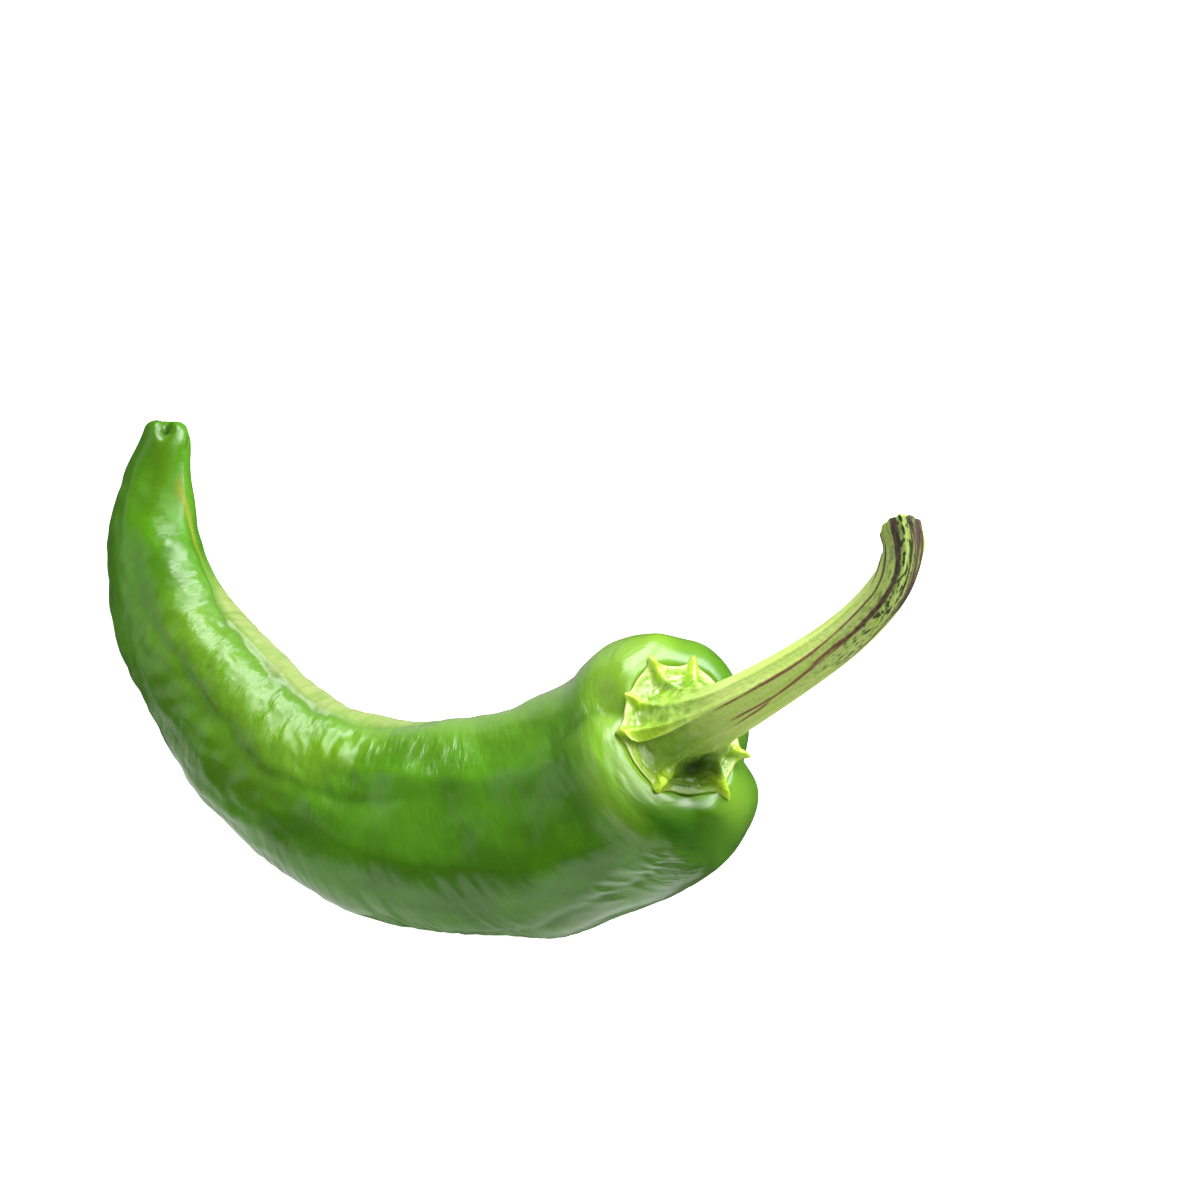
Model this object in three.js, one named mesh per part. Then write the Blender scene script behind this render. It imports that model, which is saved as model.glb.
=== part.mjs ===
// A bull horn pepper lying on its side: the curved, furrowed pod, and the calyx with its cut stem.
// Millimetres, +Z up, the surface it lies on at Z = 0. The tip points to +Y and the stem end to +X.
import * as THREE from "three";

// Driving dimensions of the pod. Each row is one ring of its skin: the place along the pod counted from the
// tip, the ring's centre, the heading and lift of the pod's axis there in degrees, and half its width and height.
const POD_RINGS = [
  [0, -65.4, 49.7, 7.4, -99, 0, 4.0, 3.7],
  [4, -65.6, 45.7, 7.6, -98, 0, 4.9, 4.8],
  [12, -67.3, 37.7, 8.0, -95, 0, 6.8, 6.8],
  [25, -67.4, 24.7, 9.2, -84, 0, 9.5, 9.3],
  [39, -63.7, 11.5, 11.8, -67, 0, 11.8, 11.5],
  [54, -55.6, -1.0, 14.2, -54, 0, 13.9, 13.4],
  [69, -46.5, -12.8, 16.0, -41, 0, 15.6, 15.2],
  [84, -34.4, -22.0, 17.6, -27, 0, 16.8, 17.2],
  [98, -21.0, -27.4, 19.3, -14, 0, 19.6, 19.4],
  [111, -7.7, -28.7, 20.8, 0, 0, 20.8, 20.9],
  [124, 5.3, -28.1, 22.6, 12, 2, 22.2, 22.6],
  [133, 14.6, -24.6, 23.7, 20, 9, 22.4, 24.6],
  [142, 23.0, -20.5, 25.5, 26, 16, 23.2, 26.3],
  [151, 28.9, -16.2, 29.2, 30, 24, 23.4, 25.7],
  [159, 32.2, -12.8, 33.8, 32, 32, 22.4, 23.7],
  [165, 33.4, -11.0, 37.9, 33, 39, 20.9, 21.5],
  [170, 33.9, -10.2, 41.4, 33, 46, 18.8, 18.9],
  [175, 33.8, -9.9, 43.7, 34, 54, 15.6, 15.6],
];
const CREST_PLACE = 175; // the highest ring of the shoulder, where the bowl round the calyx starts
const BOWL_END = 191; // the place of the bowl's middle
const BOWL_DEPTH = 4.4;
const BOWL_FLATNESS = 1.6; // higher makes the bowl's floor wider and its wall steeper
const TIP_ROUNDING = 2.2; // length over which the blunt tip is rounded
const TIP_DIMPLE = 0.9; // depth of the dimple in the tip
const TIP_DIMPLE_SHARE = 0.45; // its radius, as a share of the tip's

// The four furrows between the lobes. Each row is a place along the pod, the furrow's direction round the pod
// in degrees (0 is up, 90 the outer side of the bend), and its depth.
const FURROWS = [
  {
    narrow: 1.7,
    wide: 7,
    route: [
      [0, 0, 1.5],
      [3, 0, 1.4],
      [7, 6, 0.4],
      [16, 24, 0.3],
      [30, 29, 0.7],
      [52, 16, 1.5],
      [70, 4, 1.9],
      [84, -14, 1.7],
      [98, -25, 1.2],
      [114, -33, 0.7],
      [134, -33, 0.7],
      [152, -28, 1.9],
      [166, -25, 2.3],
      [175, -25, 1.8],
      [182, -25, 0.5],
      [191, -25, 0],
    ],
  },
  {
    narrow: 1.5,
    wide: 6,
    route: [
      [0, -118, 1.1],
      [7, -80, 0.6],
      [16, -48, 0.9],
      [34, -46, 1.3],
      [54, -40, 1.8],
      [70, -45, 2.0],
      [84, -58, 1.6],
      [98, -88, 1.0],
      [124, -118, 0.8],
      [150, -134, 0.7],
      [162, -139, 1.1],
      [175, -139, 1.3],
      [182, -139, 0.4],
      [191, -139, 0],
    ],
  },
  {
    narrow: 1.9,
    wide: 7,
    route: [
      [0, 122, 1.1],
      [8, 130, 0.7],
      [40, 150, 0.8],
      [84, 130, 0.9],
      [120, 88, 1.0],
      [140, 68, 1.6],
      [154, 74, 1.8],
      [166, 86, 2.4],
      [175, 89, 2.4],
      [182, 90, 0.6],
      [191, 90, 0],
    ],
  },
  {
    narrow: 1.7,
    wide: 5,
    route: [
      [0, 180, 0],
      [70, 176, 0],
      [110, 166, 0.5],
      [140, 150, 1.2],
      [156, 144, 2.0],
      [166, 142, 2.9],
      [175, 142, 2.4],
      [182, 142, 0.5],
      [191, 142, 0],
    ],
  },
];
const NARROW_SHARE = 0.4; // the part of a furrow's depth that its narrow groove takes
const NARROW_LIMIT = 0.3; // the most that the groove and the whole furrow spread, in radii of the pod
const WIDE_LIMIT = 0.45;

// Broad swellings of the skin: a place along the pod, its reach, a direction, its spread in degrees and height.
const SWELLINGS = [
  { place: 56, reach: 26, angle: -12, spread: 24, height: 0.7 },
  { place: 48, reach: 26, angle: -84, spread: 30, height: -1.2 },
  { place: 82, reach: 16, angle: 92, spread: 36, height: 0.6 },
  { place: 142, reach: 9, angle: -92, spread: 30, height: -0.9 },
  { place: 168, reach: 10, angle: -88, spread: 26, height: 0.3 },
  { place: 170, reach: 11, angle: -142, spread: 26, height: 2.0 },
  { place: 173, reach: 11, angle: 152, spread: 30, height: -2.7 },
  { place: 160, reach: 14, angle: 30, spread: 28, height: 0.8 },
];

// Slight waves of the skin that run slantwise round the pod. The height is that on a pod of WAVE_RADIUS, and
// the wave goes through one radian in its length. They fade out between two places below the shoulder.
const WAVES = [
  { height: 0.3, length: 3.7, turns: 2, start: 0.7 },
  { height: 0.22, length: 2.3, turns: -3, start: 2.1 },
];
const WAVE_RADIUS = 20;
const WAVE_FADE_START = 122;
const WAVE_FADE_END = 152;

// Over the rim of the shoulder the relief stands out in one direction for every ring, so that a furrow crosses
// the rim without pinching. It takes over between two places and leans towards the stem.
const RIM_START = 152;
const RIM_FULL = 166;
const RIM_SLANT = 0.7;

// Driving dimensions of the calyx. Each tooth has a direction round the calyx in degrees, the reach of its tip
// from the middle and the lift of its tip off the shoulder.
const TEETH = [
  { angle: -139, reach: 15.2, lift: 0.4 },
  { angle: -101, reach: 14.8, lift: 0.7 },
  { angle: -62, reach: 13.6, lift: 0.5 },
  { angle: -29, reach: 15.4, lift: 0.6 },
  { angle: 26, reach: 14.8, lift: 0.5 },
  { angle: 93, reach: 16.0, lift: 0.4 },
  { angle: 130, reach: 14.9, lift: 1.0 },
  { angle: 180, reach: 14.6, lift: 0.5 },
];
const CALYX_RADIUS = 12.4; // the edge midway between two teeth
const CALYX_EDGE = 0.8; // thickness at the edge
const CALYX_GAP = 0.4; // clearance over the bowl
const CALYX_DIP = 0.8; // how far the calyx sinks into the furrows
const TOOTH_WIDTH = 1.1; // half the width of a tooth's point
const TOOTH_BASE = 3.3; // half the width of the base that it rises from
const TOOTH_POINT_SHARE = 0.7; // the part of a tooth's length that its point takes
const TOOTH_LIFT_START = 0.75; // the share of the reach from which a tooth lifts off

// The stem's middle line and radius: the length from the bowl, the centre and the radius.
const STEM_RINGS = [
  [7, 36.2, -8.9, 46.8, 6.2],
  [12, 39.4, -7.2, 50.7, 5.6],
  [19, 44.8, -4.2, 54.3, 5.0],
  [29, 53.3, 1.0, 58.0, 4.45],
  [39, 61.0, 6.4, 60.8, 4.1],
  [48, 67.1, 11.9, 62.8, 3.75],
  [56, 71.6, 18.0, 64.0, 3.55],
  [63, 73.3, 24.3, 64.4, 3.6],
  [69, 72.5, 29.9, 64.4, 3.8],
];
const STEM_TWIST = 28; // degrees by which the ribs turn between the calyx and the cut end
const CUT_ROUNDING = 0.5; // rounding of the cut end's edge
const RIB_WIDTH = 1.6; // half the width of the ribs that run from the teeth up the stem
const RIB_HEIGHT = 0.9; // their height on the calyx, at the stem's foot and at the cut end
const RIB_HEIGHT_AT_FOOT = 0.54;
const RIB_HEIGHT_AT_END = 0.22;

// The flare that leads from the calyx into the stem: where it leaves the calyx and how far it is drawn in, as
// shares of the reach, and the lengths of the stem between which it straightens.
const FLARE_START = 0.92;
const FLARE_DRAW = 0.62;
const FLARE_RISE = 0.5; // height of the flare over the calyx where it is drawn in
const FLARE_BEND = 8;
const FLARE_END = 15;

// Facets
const POD_COLUMNS = 56;
const POD_STEP = 2.7; // distance between rings
const TIP_RINGS = [0.04, 0.12, 0.25, 0.45, 0.7]; // shares of the tip's rounding
const BOWL_STEPS = 7;
const COLUMNS_PER_TOOTH = [0, 0.07, 0.16, 0.3, 0.5, 0.7, 0.84, 0.93]; // shares of the way to the next tooth
const CALYX_RINGS = [0.01, 0.3, 0.6, 0.85, 1]; // shares of the reach, on the underside
const FLARE_RINGS = [0, 0.16, 0.32, 0.48, 0.64, 0.8, 1]; // shares of the flare
const STEM_STEP = 3;

// Colours
const SKIN_GREEN = 0x3f8a12;
const CALYX_GREEN = 0x9cc53c;

const radians = THREE.MathUtils.degToRad;
const clamp = THREE.MathUtils.clamp;
const lerp = THREE.MathUtils.lerp;
const bell = (x) => Math.exp(-x * x);

// A smooth curve through the rows of a table: the first column is the place, and the others are the values there.
function through(table, place) {
  let i = 0;
  while (i < table.length - 2 && place > table[i + 1][0]) i += 1;
  const here = table[i];
  const next = table[i + 1];
  const before = table[Math.max(i - 1, 0)];
  const after = table[Math.min(i + 2, table.length - 1)];
  const span = next[0] - here[0];
  const t = clamp((place - here[0]) / span, 0, 1);
  const values = [];
  for (let k = 1; k < here.length; k += 1) {
    const leave = ((next[k] - before[k]) / (next[0] - before[0])) * span;
    const arrive = ((after[k] - here[k]) / (after[0] - here[0])) * span;
    const rise = next[k] - here[k];
    const bend = t * (leave + arrive - 2 * rise);
    values.push(here[k] + t * (leave + t * (3 * rise - 2 * leave - arrive + bend)));
  }
  return values;
}

// The signed angle in degrees from one direction to another, between -180 and 180.
function turn(from, to) {
  return THREE.MathUtils.euclideanModulo(to - from + 180, 360) - 180;
}

// The axis, the upward side and the outer side of a ring with this heading and lift.
function frameOf(heading, lift) {
  const h = radians(heading);
  const l = radians(lift);
  return {
    axis: new THREE.Vector3(Math.cos(l) * Math.cos(h), Math.cos(l) * Math.sin(h), Math.sin(l)),
    up: new THREE.Vector3(-Math.sin(l) * Math.cos(h), -Math.sin(l) * Math.sin(h), Math.cos(l)),
    side: new THREE.Vector3(Math.sin(h), -Math.cos(h), 0),
  };
}

const [, , , , CREST_HEADING, CREST_LIFT, CREST_ACROSS, CREST_TALL] = POD_RINGS[POD_RINGS.length - 1];
const CREST_RADIUS = (CREST_ACROSS + CREST_TALL) / 2;
const HEAD = frameOf(CREST_HEADING, CREST_LIFT);

// The place in the bowl whose ring has this radius.
function bowlPlace(radius) {
  return lerp(BOWL_END, CREST_PLACE, radius / CREST_RADIUS);
}

// The smooth pod without its relief: a point for a place along it and a direction in radians.
function podBody(place, angle) {
  const [x, y, z, heading, lift, across, tall] = through(POD_RINGS, Math.min(place, CREST_PLACE));
  const { axis, up, side } = frameOf(heading, lift);
  let scale = 1;
  let along = 0;
  if (place < TIP_ROUNDING) {
    const t = 1 - place / TIP_ROUNDING;
    scale = Math.sqrt(Math.max(1 - t * t, 0));
    along = TIP_DIMPLE * bell(scale / TIP_DIMPLE_SHARE);
  }
  if (place > CREST_PLACE) {
    scale = Math.max(BOWL_END - place, 0) / (BOWL_END - CREST_PLACE);
    along = (-BOWL_DEPTH * (1 + Math.cos(Math.PI * scale ** BOWL_FLATNESS))) / 2;
  }
  return new THREE.Vector3(x, y, z)
    .addScaledVector(axis, along)
    .addScaledVector(up, scale * tall * Math.cos(angle))
    .addScaledVector(side, scale * across * Math.sin(angle));
}

// The share of the relief that a place takes: none at the two poles of the skin.
function reliefShare(place) {
  const tip = clamp(place / TIP_ROUNDING, 0, 1);
  const bowl = clamp((BOWL_END - place) / (BOWL_END - CREST_PLACE), 0, 1);
  return Math.sqrt(tip) * bowl;
}

// How far the skin stands out from the smooth pod.
function relief(place, angle) {
  const [, , , , , across, tall] = through(POD_RINGS, Math.min(place, CREST_PLACE));
  const radius = (across + tall) / 2;
  const degrees = THREE.MathUtils.radToDeg(angle);
  let height = 0;
  for (const { narrow, wide, route } of FURROWS) {
    const [direction, depth] = through(route, place);
    const arc = radius * radians(turn(direction, degrees));
    const groove = bell(arc / Math.min(narrow, NARROW_LIMIT * radius));
    const furrow = bell(arc / Math.min(wide, WIDE_LIMIT * radius));
    height -= depth * lerp(furrow, groove, NARROW_SHARE);
  }
  for (const swelling of SWELLINGS) {
    const along = (place - swelling.place) / swelling.reach;
    const round = turn(swelling.angle, degrees) / swelling.spread;
    height += swelling.height * bell(along) * bell(round);
  }
  const waveShare = 1 - THREE.MathUtils.smoothstep(place, WAVE_FADE_START, WAVE_FADE_END);
  for (const wave of WAVES) {
    const phase = place / wave.length + wave.turns * angle + wave.start;
    height += waveShare * wave.height * (radius / WAVE_RADIUS) * Math.sin(phase);
  }
  return reliefShare(place) * height;
}

// The outward direction of the smooth pod.
function podNormal(place, angle) {
  const step = 0.05;
  const forward = podBody(place + step, angle).sub(podBody(place - step, angle));
  const round = podBody(place, angle + step).sub(podBody(place, angle - step));
  return round.cross(forward).normalize();
}

// The direction in which the relief raises the skin: outward, and on the rim the rim's own.
function reliefDirection(place, angle) {
  const rim = HEAD.axis
    .clone()
    .multiplyScalar(RIM_SLANT)
    .addScaledVector(HEAD.up, Math.cos(angle))
    .addScaledVector(HEAD.side, Math.sin(angle))
    .normalize();
  const rimShare = THREE.MathUtils.smoothstep(place, RIM_START, RIM_FULL);
  return podNormal(place, angle).lerp(rim, rimShare).normalize();
}

// The pod's skin. It is flat where it would reach below the surface that the pepper lies on.
function podSkin(place, angle) {
  const point = podBody(place, angle);
  const height = relief(place, angle);
  if (height !== 0) point.addScaledVector(reliefDirection(place, angle), height);
  point.z = Math.max(point.z, 0);
  return point;
}

// A closed mesh from rings of points, with the first and last ring drawn together to one point each.
function closedSkin(rings) {
  const columns = rings[1].length;
  const positions = [rings[0][0], ...rings.slice(1, -1).flat(), rings[rings.length - 1][0]];
  const last = positions.length - 1;
  const index = [];
  for (let j = 0; j < columns; j += 1) {
    const k = (j + 1) % columns;
    index.push(0, 1 + k, 1 + j);
    for (let i = 0; i < rings.length - 3; i += 1) {
      const low = 1 + i * columns;
      const high = low + columns;
      index.push(low + j, low + k, high + k, low + j, high + k, high + j);
    }
    index.push(last, last - columns + j, last - columns + k);
  }
  const geometry = new THREE.BufferGeometry().setFromPoints(positions);
  geometry.setIndex(index);
  geometry.computeVertexNormals();
  return geometry;
}

function podGeometry() {
  const places = [0, ...TIP_RINGS.map((share) => share * TIP_ROUNDING)];
  const steps = Math.round((CREST_PLACE - TIP_ROUNDING) / POD_STEP);
  for (let i = 0; i <= steps; i += 1) places.push(lerp(TIP_ROUNDING, CREST_PLACE, i / steps));
  for (let i = 1; i <= BOWL_STEPS; i += 1) places.push(lerp(CREST_PLACE, BOWL_END, i / BOWL_STEPS));
  const rings = places.map((place) => {
    const ring = [];
    for (let j = 0; j < POD_COLUMNS; j += 1) ring.push(podSkin(place, (2 * Math.PI * j) / POD_COLUMNS));
    return ring;
  });
  return closedSkin(rings);
}

// The directions round the calyx in degrees, closer together at the teeth.
function calyxDirections() {
  return TEETH.flatMap((tooth, i) => {
    const width = THREE.MathUtils.euclideanModulo(TEETH[(i + 1) % TEETH.length].angle - tooth.angle, 360);
    return COLUMNS_PER_TOOTH.map((share) => tooth.angle + share * width);
  });
}

// The tooth nearest to a direction, and the distance to it along the calyx's edge.
function nearestTooth(degrees) {
  let nearest = TEETH[0];
  for (const tooth of TEETH) {
    if (Math.abs(turn(tooth.angle, degrees)) < Math.abs(turn(nearest.angle, degrees))) nearest = tooth;
  }
  return { tooth: nearest, arc: CALYX_RADIUS * radians(turn(nearest.angle, degrees)) };
}

// The calyx's outline: concave between the teeth.
function calyxReach(degrees) {
  const { tooth, arc } = nearestTooth(degrees);
  const spike = lerp(bell(arc / TOOTH_BASE), bell(arc / TOOTH_WIDTH), TOOTH_POINT_SHARE);
  return lerp(CALYX_RADIUS, tooth.reach, spike);
}

// The rib that rises from each tooth.
function rib(degrees) {
  return bell(nearestTooth(degrees).arc / RIB_WIDTH);
}

// A point over the bowl at a share of the calyx's reach. The calyx bridges the furrows.
function overBowl(share, degrees, height) {
  const { tooth, arc } = nearestTooth(degrees);
  const place = bowlPlace(share * calyxReach(degrees));
  const angle = radians(degrees);
  const away = podNormal(place, angle).add(HEAD.axis).normalize();
  const lifted = (Math.max(share - TOOTH_LIFT_START, 0) / (1 - TOOTH_LIFT_START)) * bell(arc / TOOTH_WIDTH);
  return podBody(place, angle)
    .addScaledVector(reliefDirection(place, angle), Math.max(relief(place, angle), -CALYX_DIP))
    .addScaledVector(away, CALYX_GAP + tooth.lift * lifted + height);
}

// One ring of the calyx at a share of its reach and a height over its underside.
function calyxRing(directions, share, height, ribShare = 0) {
  return directions.map((degrees) => overBowl(share, degrees, height + ribShare * RIB_HEIGHT * rib(degrees)));
}

const STEM_START = STEM_RINGS[0][0];
const STEM_END = STEM_RINGS[STEM_RINGS.length - 1][0];

// One ring of the stem at a length from the bowl. It can be drawn in, and set further along the stem.
function stemRing(directions, place, scale = 1, along = 0) {
  const [x, y, z, radius] = through(STEM_RINGS, place);
  const step = 0.5;
  const ahead = new THREE.Vector3(...through(STEM_RINGS, place + step));
  const behind = new THREE.Vector3(...through(STEM_RINGS, place - step));
  const axis = ahead.sub(behind).normalize();
  const up = HEAD.up.clone().addScaledVector(axis, -axis.dot(HEAD.up)).normalize();
  const side = axis.clone().cross(up);
  const t = THREE.MathUtils.inverseLerp(STEM_START, STEM_END, place);
  const ridge = lerp(RIB_HEIGHT_AT_FOOT, RIB_HEIGHT_AT_END, Math.sqrt(t));
  return directions.map((degrees) => {
    const angle = radians(degrees + STEM_TWIST * t);
    const reach = scale * (radius + ridge * (rib(degrees) - 0.5));
    return new THREE.Vector3(x, y, z)
      .addScaledVector(axis, along)
      .addScaledVector(up, reach * Math.cos(angle))
      .addScaledVector(side, reach * Math.sin(angle));
  });
}

// The rings that lead from the calyx up into the stem, along one curve in each direction.
function flareRings(directions) {
  const edge = calyxRing(directions, FLARE_START, CALYX_EDGE, 0.5);
  const drawn = calyxRing(directions, FLARE_DRAW, CALYX_EDGE + FLARE_RISE, 1);
  const bend = stemRing(directions, FLARE_BEND);
  const stem = stemRing(directions, FLARE_END);
  const curves = directions.map((_, j) => new THREE.CubicBezierCurve3(edge[j], drawn[j], bend[j], stem[j]));
  return FLARE_RINGS.map((t) => curves.map((curve) => curve.getPoint(t)));
}

// The skin runs from the middle of the underside out to the calyx's edge, over it, and up the stem to its end.
function calyxStemGeometry() {
  const directions = calyxDirections();
  const rings = CALYX_RINGS.map((share) => calyxRing(directions, share, 0));
  rings.push(calyxRing(directions, 1, CALYX_EDGE * 0.8, 0.2));
  rings.push(...flareRings(directions));
  for (let place = FLARE_END + STEM_STEP; place < STEM_END - CUT_ROUNDING; place += STEM_STEP) {
    rings.push(stemRing(directions, place));
  }
  rings.push(stemRing(directions, STEM_END - CUT_ROUNDING));
  rings.push(stemRing(directions, STEM_END, 0.92));
  rings.push(stemRing(directions, STEM_END, 0.5, -0.2));
  rings.push(stemRing(directions, STEM_END, 0, -0.4));
  return closedSkin(rings);
}

function piece(name, geometry, color, roughness) {
  const material = new THREE.MeshStandardMaterial({ color, roughness, metalness: 0 });
  const mesh = new THREE.Mesh(geometry, material);
  mesh.name = name;
  return mesh;
}

const pepper = new THREE.Group();
pepper.name = "bull_horn_pepper";
pepper.add(piece("pod", podGeometry(), SKIN_GREEN, 0.28));
pepper.add(piece("calyx_stem", calyxStemGeometry(), CALYX_GREEN, 0.5));

export default pepper;
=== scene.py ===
import math

import bpy
import numpy as np
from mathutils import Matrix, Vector, noise


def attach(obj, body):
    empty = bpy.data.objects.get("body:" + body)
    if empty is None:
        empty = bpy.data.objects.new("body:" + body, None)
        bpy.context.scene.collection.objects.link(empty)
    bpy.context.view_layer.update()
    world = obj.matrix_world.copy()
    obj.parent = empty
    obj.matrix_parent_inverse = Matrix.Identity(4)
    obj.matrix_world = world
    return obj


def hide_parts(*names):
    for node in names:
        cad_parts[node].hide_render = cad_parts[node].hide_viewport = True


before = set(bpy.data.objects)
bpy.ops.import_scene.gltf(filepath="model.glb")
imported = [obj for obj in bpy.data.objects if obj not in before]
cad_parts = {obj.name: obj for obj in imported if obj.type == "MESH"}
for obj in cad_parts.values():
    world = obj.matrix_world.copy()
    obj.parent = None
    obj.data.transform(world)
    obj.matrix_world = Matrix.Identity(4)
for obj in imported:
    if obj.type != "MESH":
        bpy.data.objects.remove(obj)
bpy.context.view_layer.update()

bl_info = {
    "name": "Bull Horn Pepper",
    "version": (1, 0, 0),
    "blender": (4, 5, 0),
    "location": "3D View > Sidebar > Pepper",
    "description": "Builds a curved green pepper with its calyx and cut stem round the packed model",
    "category": "Add Mesh",
}

MM = 0.001

# The pod. Lengths in this section are millimetres and directions degrees. Each row is one ring of its skin:
# the place along the pod counted from the tip, the ring's centre, the heading and lift of the pod's axis, and
# half its width and height.
POD_RINGS = [
    [0, -65.4, 49.7, 7.4, -93, 0, 4.0, 3.7],
    [4, -65.6, 45.7, 7.6, -95, 0, 4.9, 4.8],
    [12, -67.3, 37.7, 8.0, -95, 0, 6.8, 6.8],
    [25, -67.4, 24.7, 9.2, -84, 0, 9.5, 9.3],
    [39, -63.7, 11.5, 11.8, -67, 0, 11.8, 11.5],
    [54, -55.6, -1.0, 14.2, -54, 0, 13.9, 13.4],
    [69, -46.5, -12.8, 16.0, -41, 0, 15.6, 15.2],
    [84, -34.4, -22.0, 17.6, -27, 0, 16.8, 17.2],
    [98, -21.0, -27.4, 19.3, -14, 0, 19.6, 19.4],
    [111, -7.7, -28.7, 20.8, 0, 0, 20.8, 20.9],
    [124, 5.3, -28.1, 22.6, 12, 2, 22.2, 22.6],
    [133, 14.6, -24.6, 23.7, 20, 9, 22.4, 24.6],
    [142, 23.0, -20.5, 25.5, 26, 16, 23.2, 26.3],
    [151, 28.9, -16.2, 29.2, 30, 24, 23.4, 25.7],
    [159, 32.2, -12.8, 33.8, 32, 32, 22.4, 23.7],
    [165, 33.4, -11.0, 37.9, 33, 39, 20.9, 21.5],
    [175, 33.8, -9.9, 43.7, 34, 54, 14.0, 14.0],
]
# The skin rounds over from the body to the crest: rows of the direction, the place where that starts, the
# slope at the crest, and the shares of the way to the corner where the curve leaves the body and comes in
# over the crest.
SHOULDER_SIDES = [
    [-180, 155, 4, 0.56, 0.44],
    [-140, 155, 8, 0.6, 0.5],
    [-105, 154, 20, 0.6, 0.62],
    [-75, 152, 18, 0.58, 0.56],
    [-50, 150, 32, 0.58, 0.5],
    [-26, 148, -3, 0.6, 0.58],
    [0, 148, -6, 0.6, 0.6],
    [50, 150, 8, 0.58, 0.42],
    [110, 154, 6, 0.6, 0.44],
    [180, 155, 4, 0.56, 0.44],
]
CREST_PLACE = 175
BOWL_END = 191
BOWL_DEPTH = 4.4
BOWL_FLATNESS = 3
TIP_ROUNDING = 2.2
TIP_DIMPLE = 1.5
TIP_DIMPLE_SHARE = 0.4
# The tip's rings, as shares of its rounding.
TIP_RINGS = [0, 0.02, 0.06, 0.12, 0.2, 0.3, 0.42, 0.56, 0.72, 0.88]

# The furrows between the lobes: the half widths of the groove and of the whole furrow, and its route as rows
# of the place, the direction round the pod (0 up, 90 the outer side of the bend) and the depth.
RIDGE_FURROW = {
    "narrow": 1.5,
    "wide": 6,
    "route": [
        [0, 0, 3.4], [2.2, 0, 2.7], [4.2, 1, 0.7], [6, 4, 0.3], [9, 10, 0.25], [16, 24, 0.3], [30, 24, 0.7],
        [46, 13, 1.2], [62, 10, 1.6], [76, 8, 1.6], [86, -2, 1.0], [102, -17, 0.4], [116, -26, 0.3],
        [129, -31, 0.4], [141, -37, 0.9], [154, -42, 1.7], [166, -47, 2.5], [175, -50, 2.2], [182, -50, 0.5],
        [191, -50, 0],
    ],
}
INNER_FURROW = {
    "narrow": 1.3,
    "wide": 5,
    "route": [
        [0, -118, 1.1], [6, -62, 0.5], [12, -44, 0.4], [18, -60, 0.7], [24, -70, 0.9], [30, -75, 1.2],
        [38, -64, 1.6], [47, -56, 1.4], [55, -52, 1.3], [66, -55, 1.2], [78, -60, 1.3], [90, -70, 0.9],
        [104, -92, 0.7], [124, -118, 0.8], [150, -132, 0.4], [162, -132, 0.6], [175, -131, 1.0],
        [182, -131, 0.5], [191, -131, 0],
    ],
}
OUTER_FURROW = {
    "narrow": 1.5,
    "wide": 6,
    "route": [
        [0, 122, 1.1], [8, 130, 0.7], [40, 150, 0.8], [84, 130, 0.9], [110, 86, 0.8], [128, 54, 0.8],
        [142, 50, 1.2], [150, 48, 1.2], [156, 56, 0.8], [166, 61, 0.6], [175, 61, 1.2], [182, 61, 0.4],
        [191, 61, 0],
    ],
}
UNDER_FURROW = {
    "narrow": 1.7,
    "wide": 5,
    "route": [
        [0, 180, 0], [70, 176, 0], [110, 166, 0.5], [140, 150, 1.2], [156, 144, 2.0], [166, 142, 2.9],
        [175, 142, 2.4], [182, 142, 0.5], [191, 142, 0],
    ],
}
FURROWS = (RIDGE_FURROW, INNER_FURROW, OUTER_FURROW, UNDER_FURROW)
# How much of a furrow is its groove, at the tip and along the pod, how far its route wavers, and the widest
# that its groove and valley may be, as shares of the pod's radius.
TIP_NARROW_SHARE = 0.9
NARROW_SHARE = 0.25
FURROW_WAVER = 0.5
NARROW_LIMIT = 0.34
WIDE_LIMIT = 0.45

# Broad swellings of the skin: the place, its reach, the direction, its spread and the height.
SWELLINGS = [
    (56, 26, -12, 24, 0.7),
    (48, 26, -84, 30, -1.2),
    (82, 16, 92, 36, 0.6),
    (142, 9, -92, 30, -0.9),
    (168, 10, -88, 26, 0.3),
    (170, 11, -142, 26, 1.2),
    (173, 11, 152, 30, -2.9),
    (160, 14, 30, 28, 0.8),
    (154, 9, -6, 22, 1.2),
    (170, 8, 112, 26, -1.0),
    (170.5, 5, -114, 15, 1.2),
    (178, 2.6, -118, 10, -0.8),
    (171.5, 3.6, 72, 11, 1.1),
    (176.8, 3, 54, 13, -1.3),
]

# Flat faces between furrows: where they start and end along the pod, the direction, half their span and how
# flat.
FACES = [
    (20, 104, -26, 34, 0.62),
    (2, 26, -8, 50, 0.8),
    (72, 150, -5, 25, 0.7),
    (78, 146, -44, 17, 0.6),
]
FACE_FADE = 26
FACE_EDGE = 1.3

# Soft spots of the skin's colour and finish: rows of the place, its reach, the direction, its spread and the
# strength.
SPOTS = {
    "crinkle": [
        (52, 34, -22, 36, 1.0),
        (104, 26, -52, 26, 0.7),
        (60, 44, 70, 50, 0.5),
        (66, 32, -112, 36, 0.8),
        (85, 6, 18, 9, 0.9),
        (111, 9, -4, 8, 0.9),
        (120, 40, 84, 26, 0.5),
        (166, 9, -88, 22, 0.8),
        (152, 14, -52, 22, 0.6),
        (150, 14, 60, 16, 0.6),
    ],
    "line": [(9, 8, -8, 30, 0.12)],
    # Painted light: the first shoulder spot and the bulge spot make the bulge before the calyx lighter, where
    # it faces the lights.
    "shoulder": [(157, 9, -8, 24, 1.0), (170, 9, 98, 22, 0.8)],
    "bulge": [(154, 8, -8, 24, 1.0)],
    # Painted shade: the shade spot darkens the skin below the calyx, where it lies in shade.
    "shade": [(163, 8, 42, 34, 1.0)],
    "dull": [(81, 10, -32, 20, 0.5)],
}
LEAST_CRINKLE = 0.12

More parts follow.
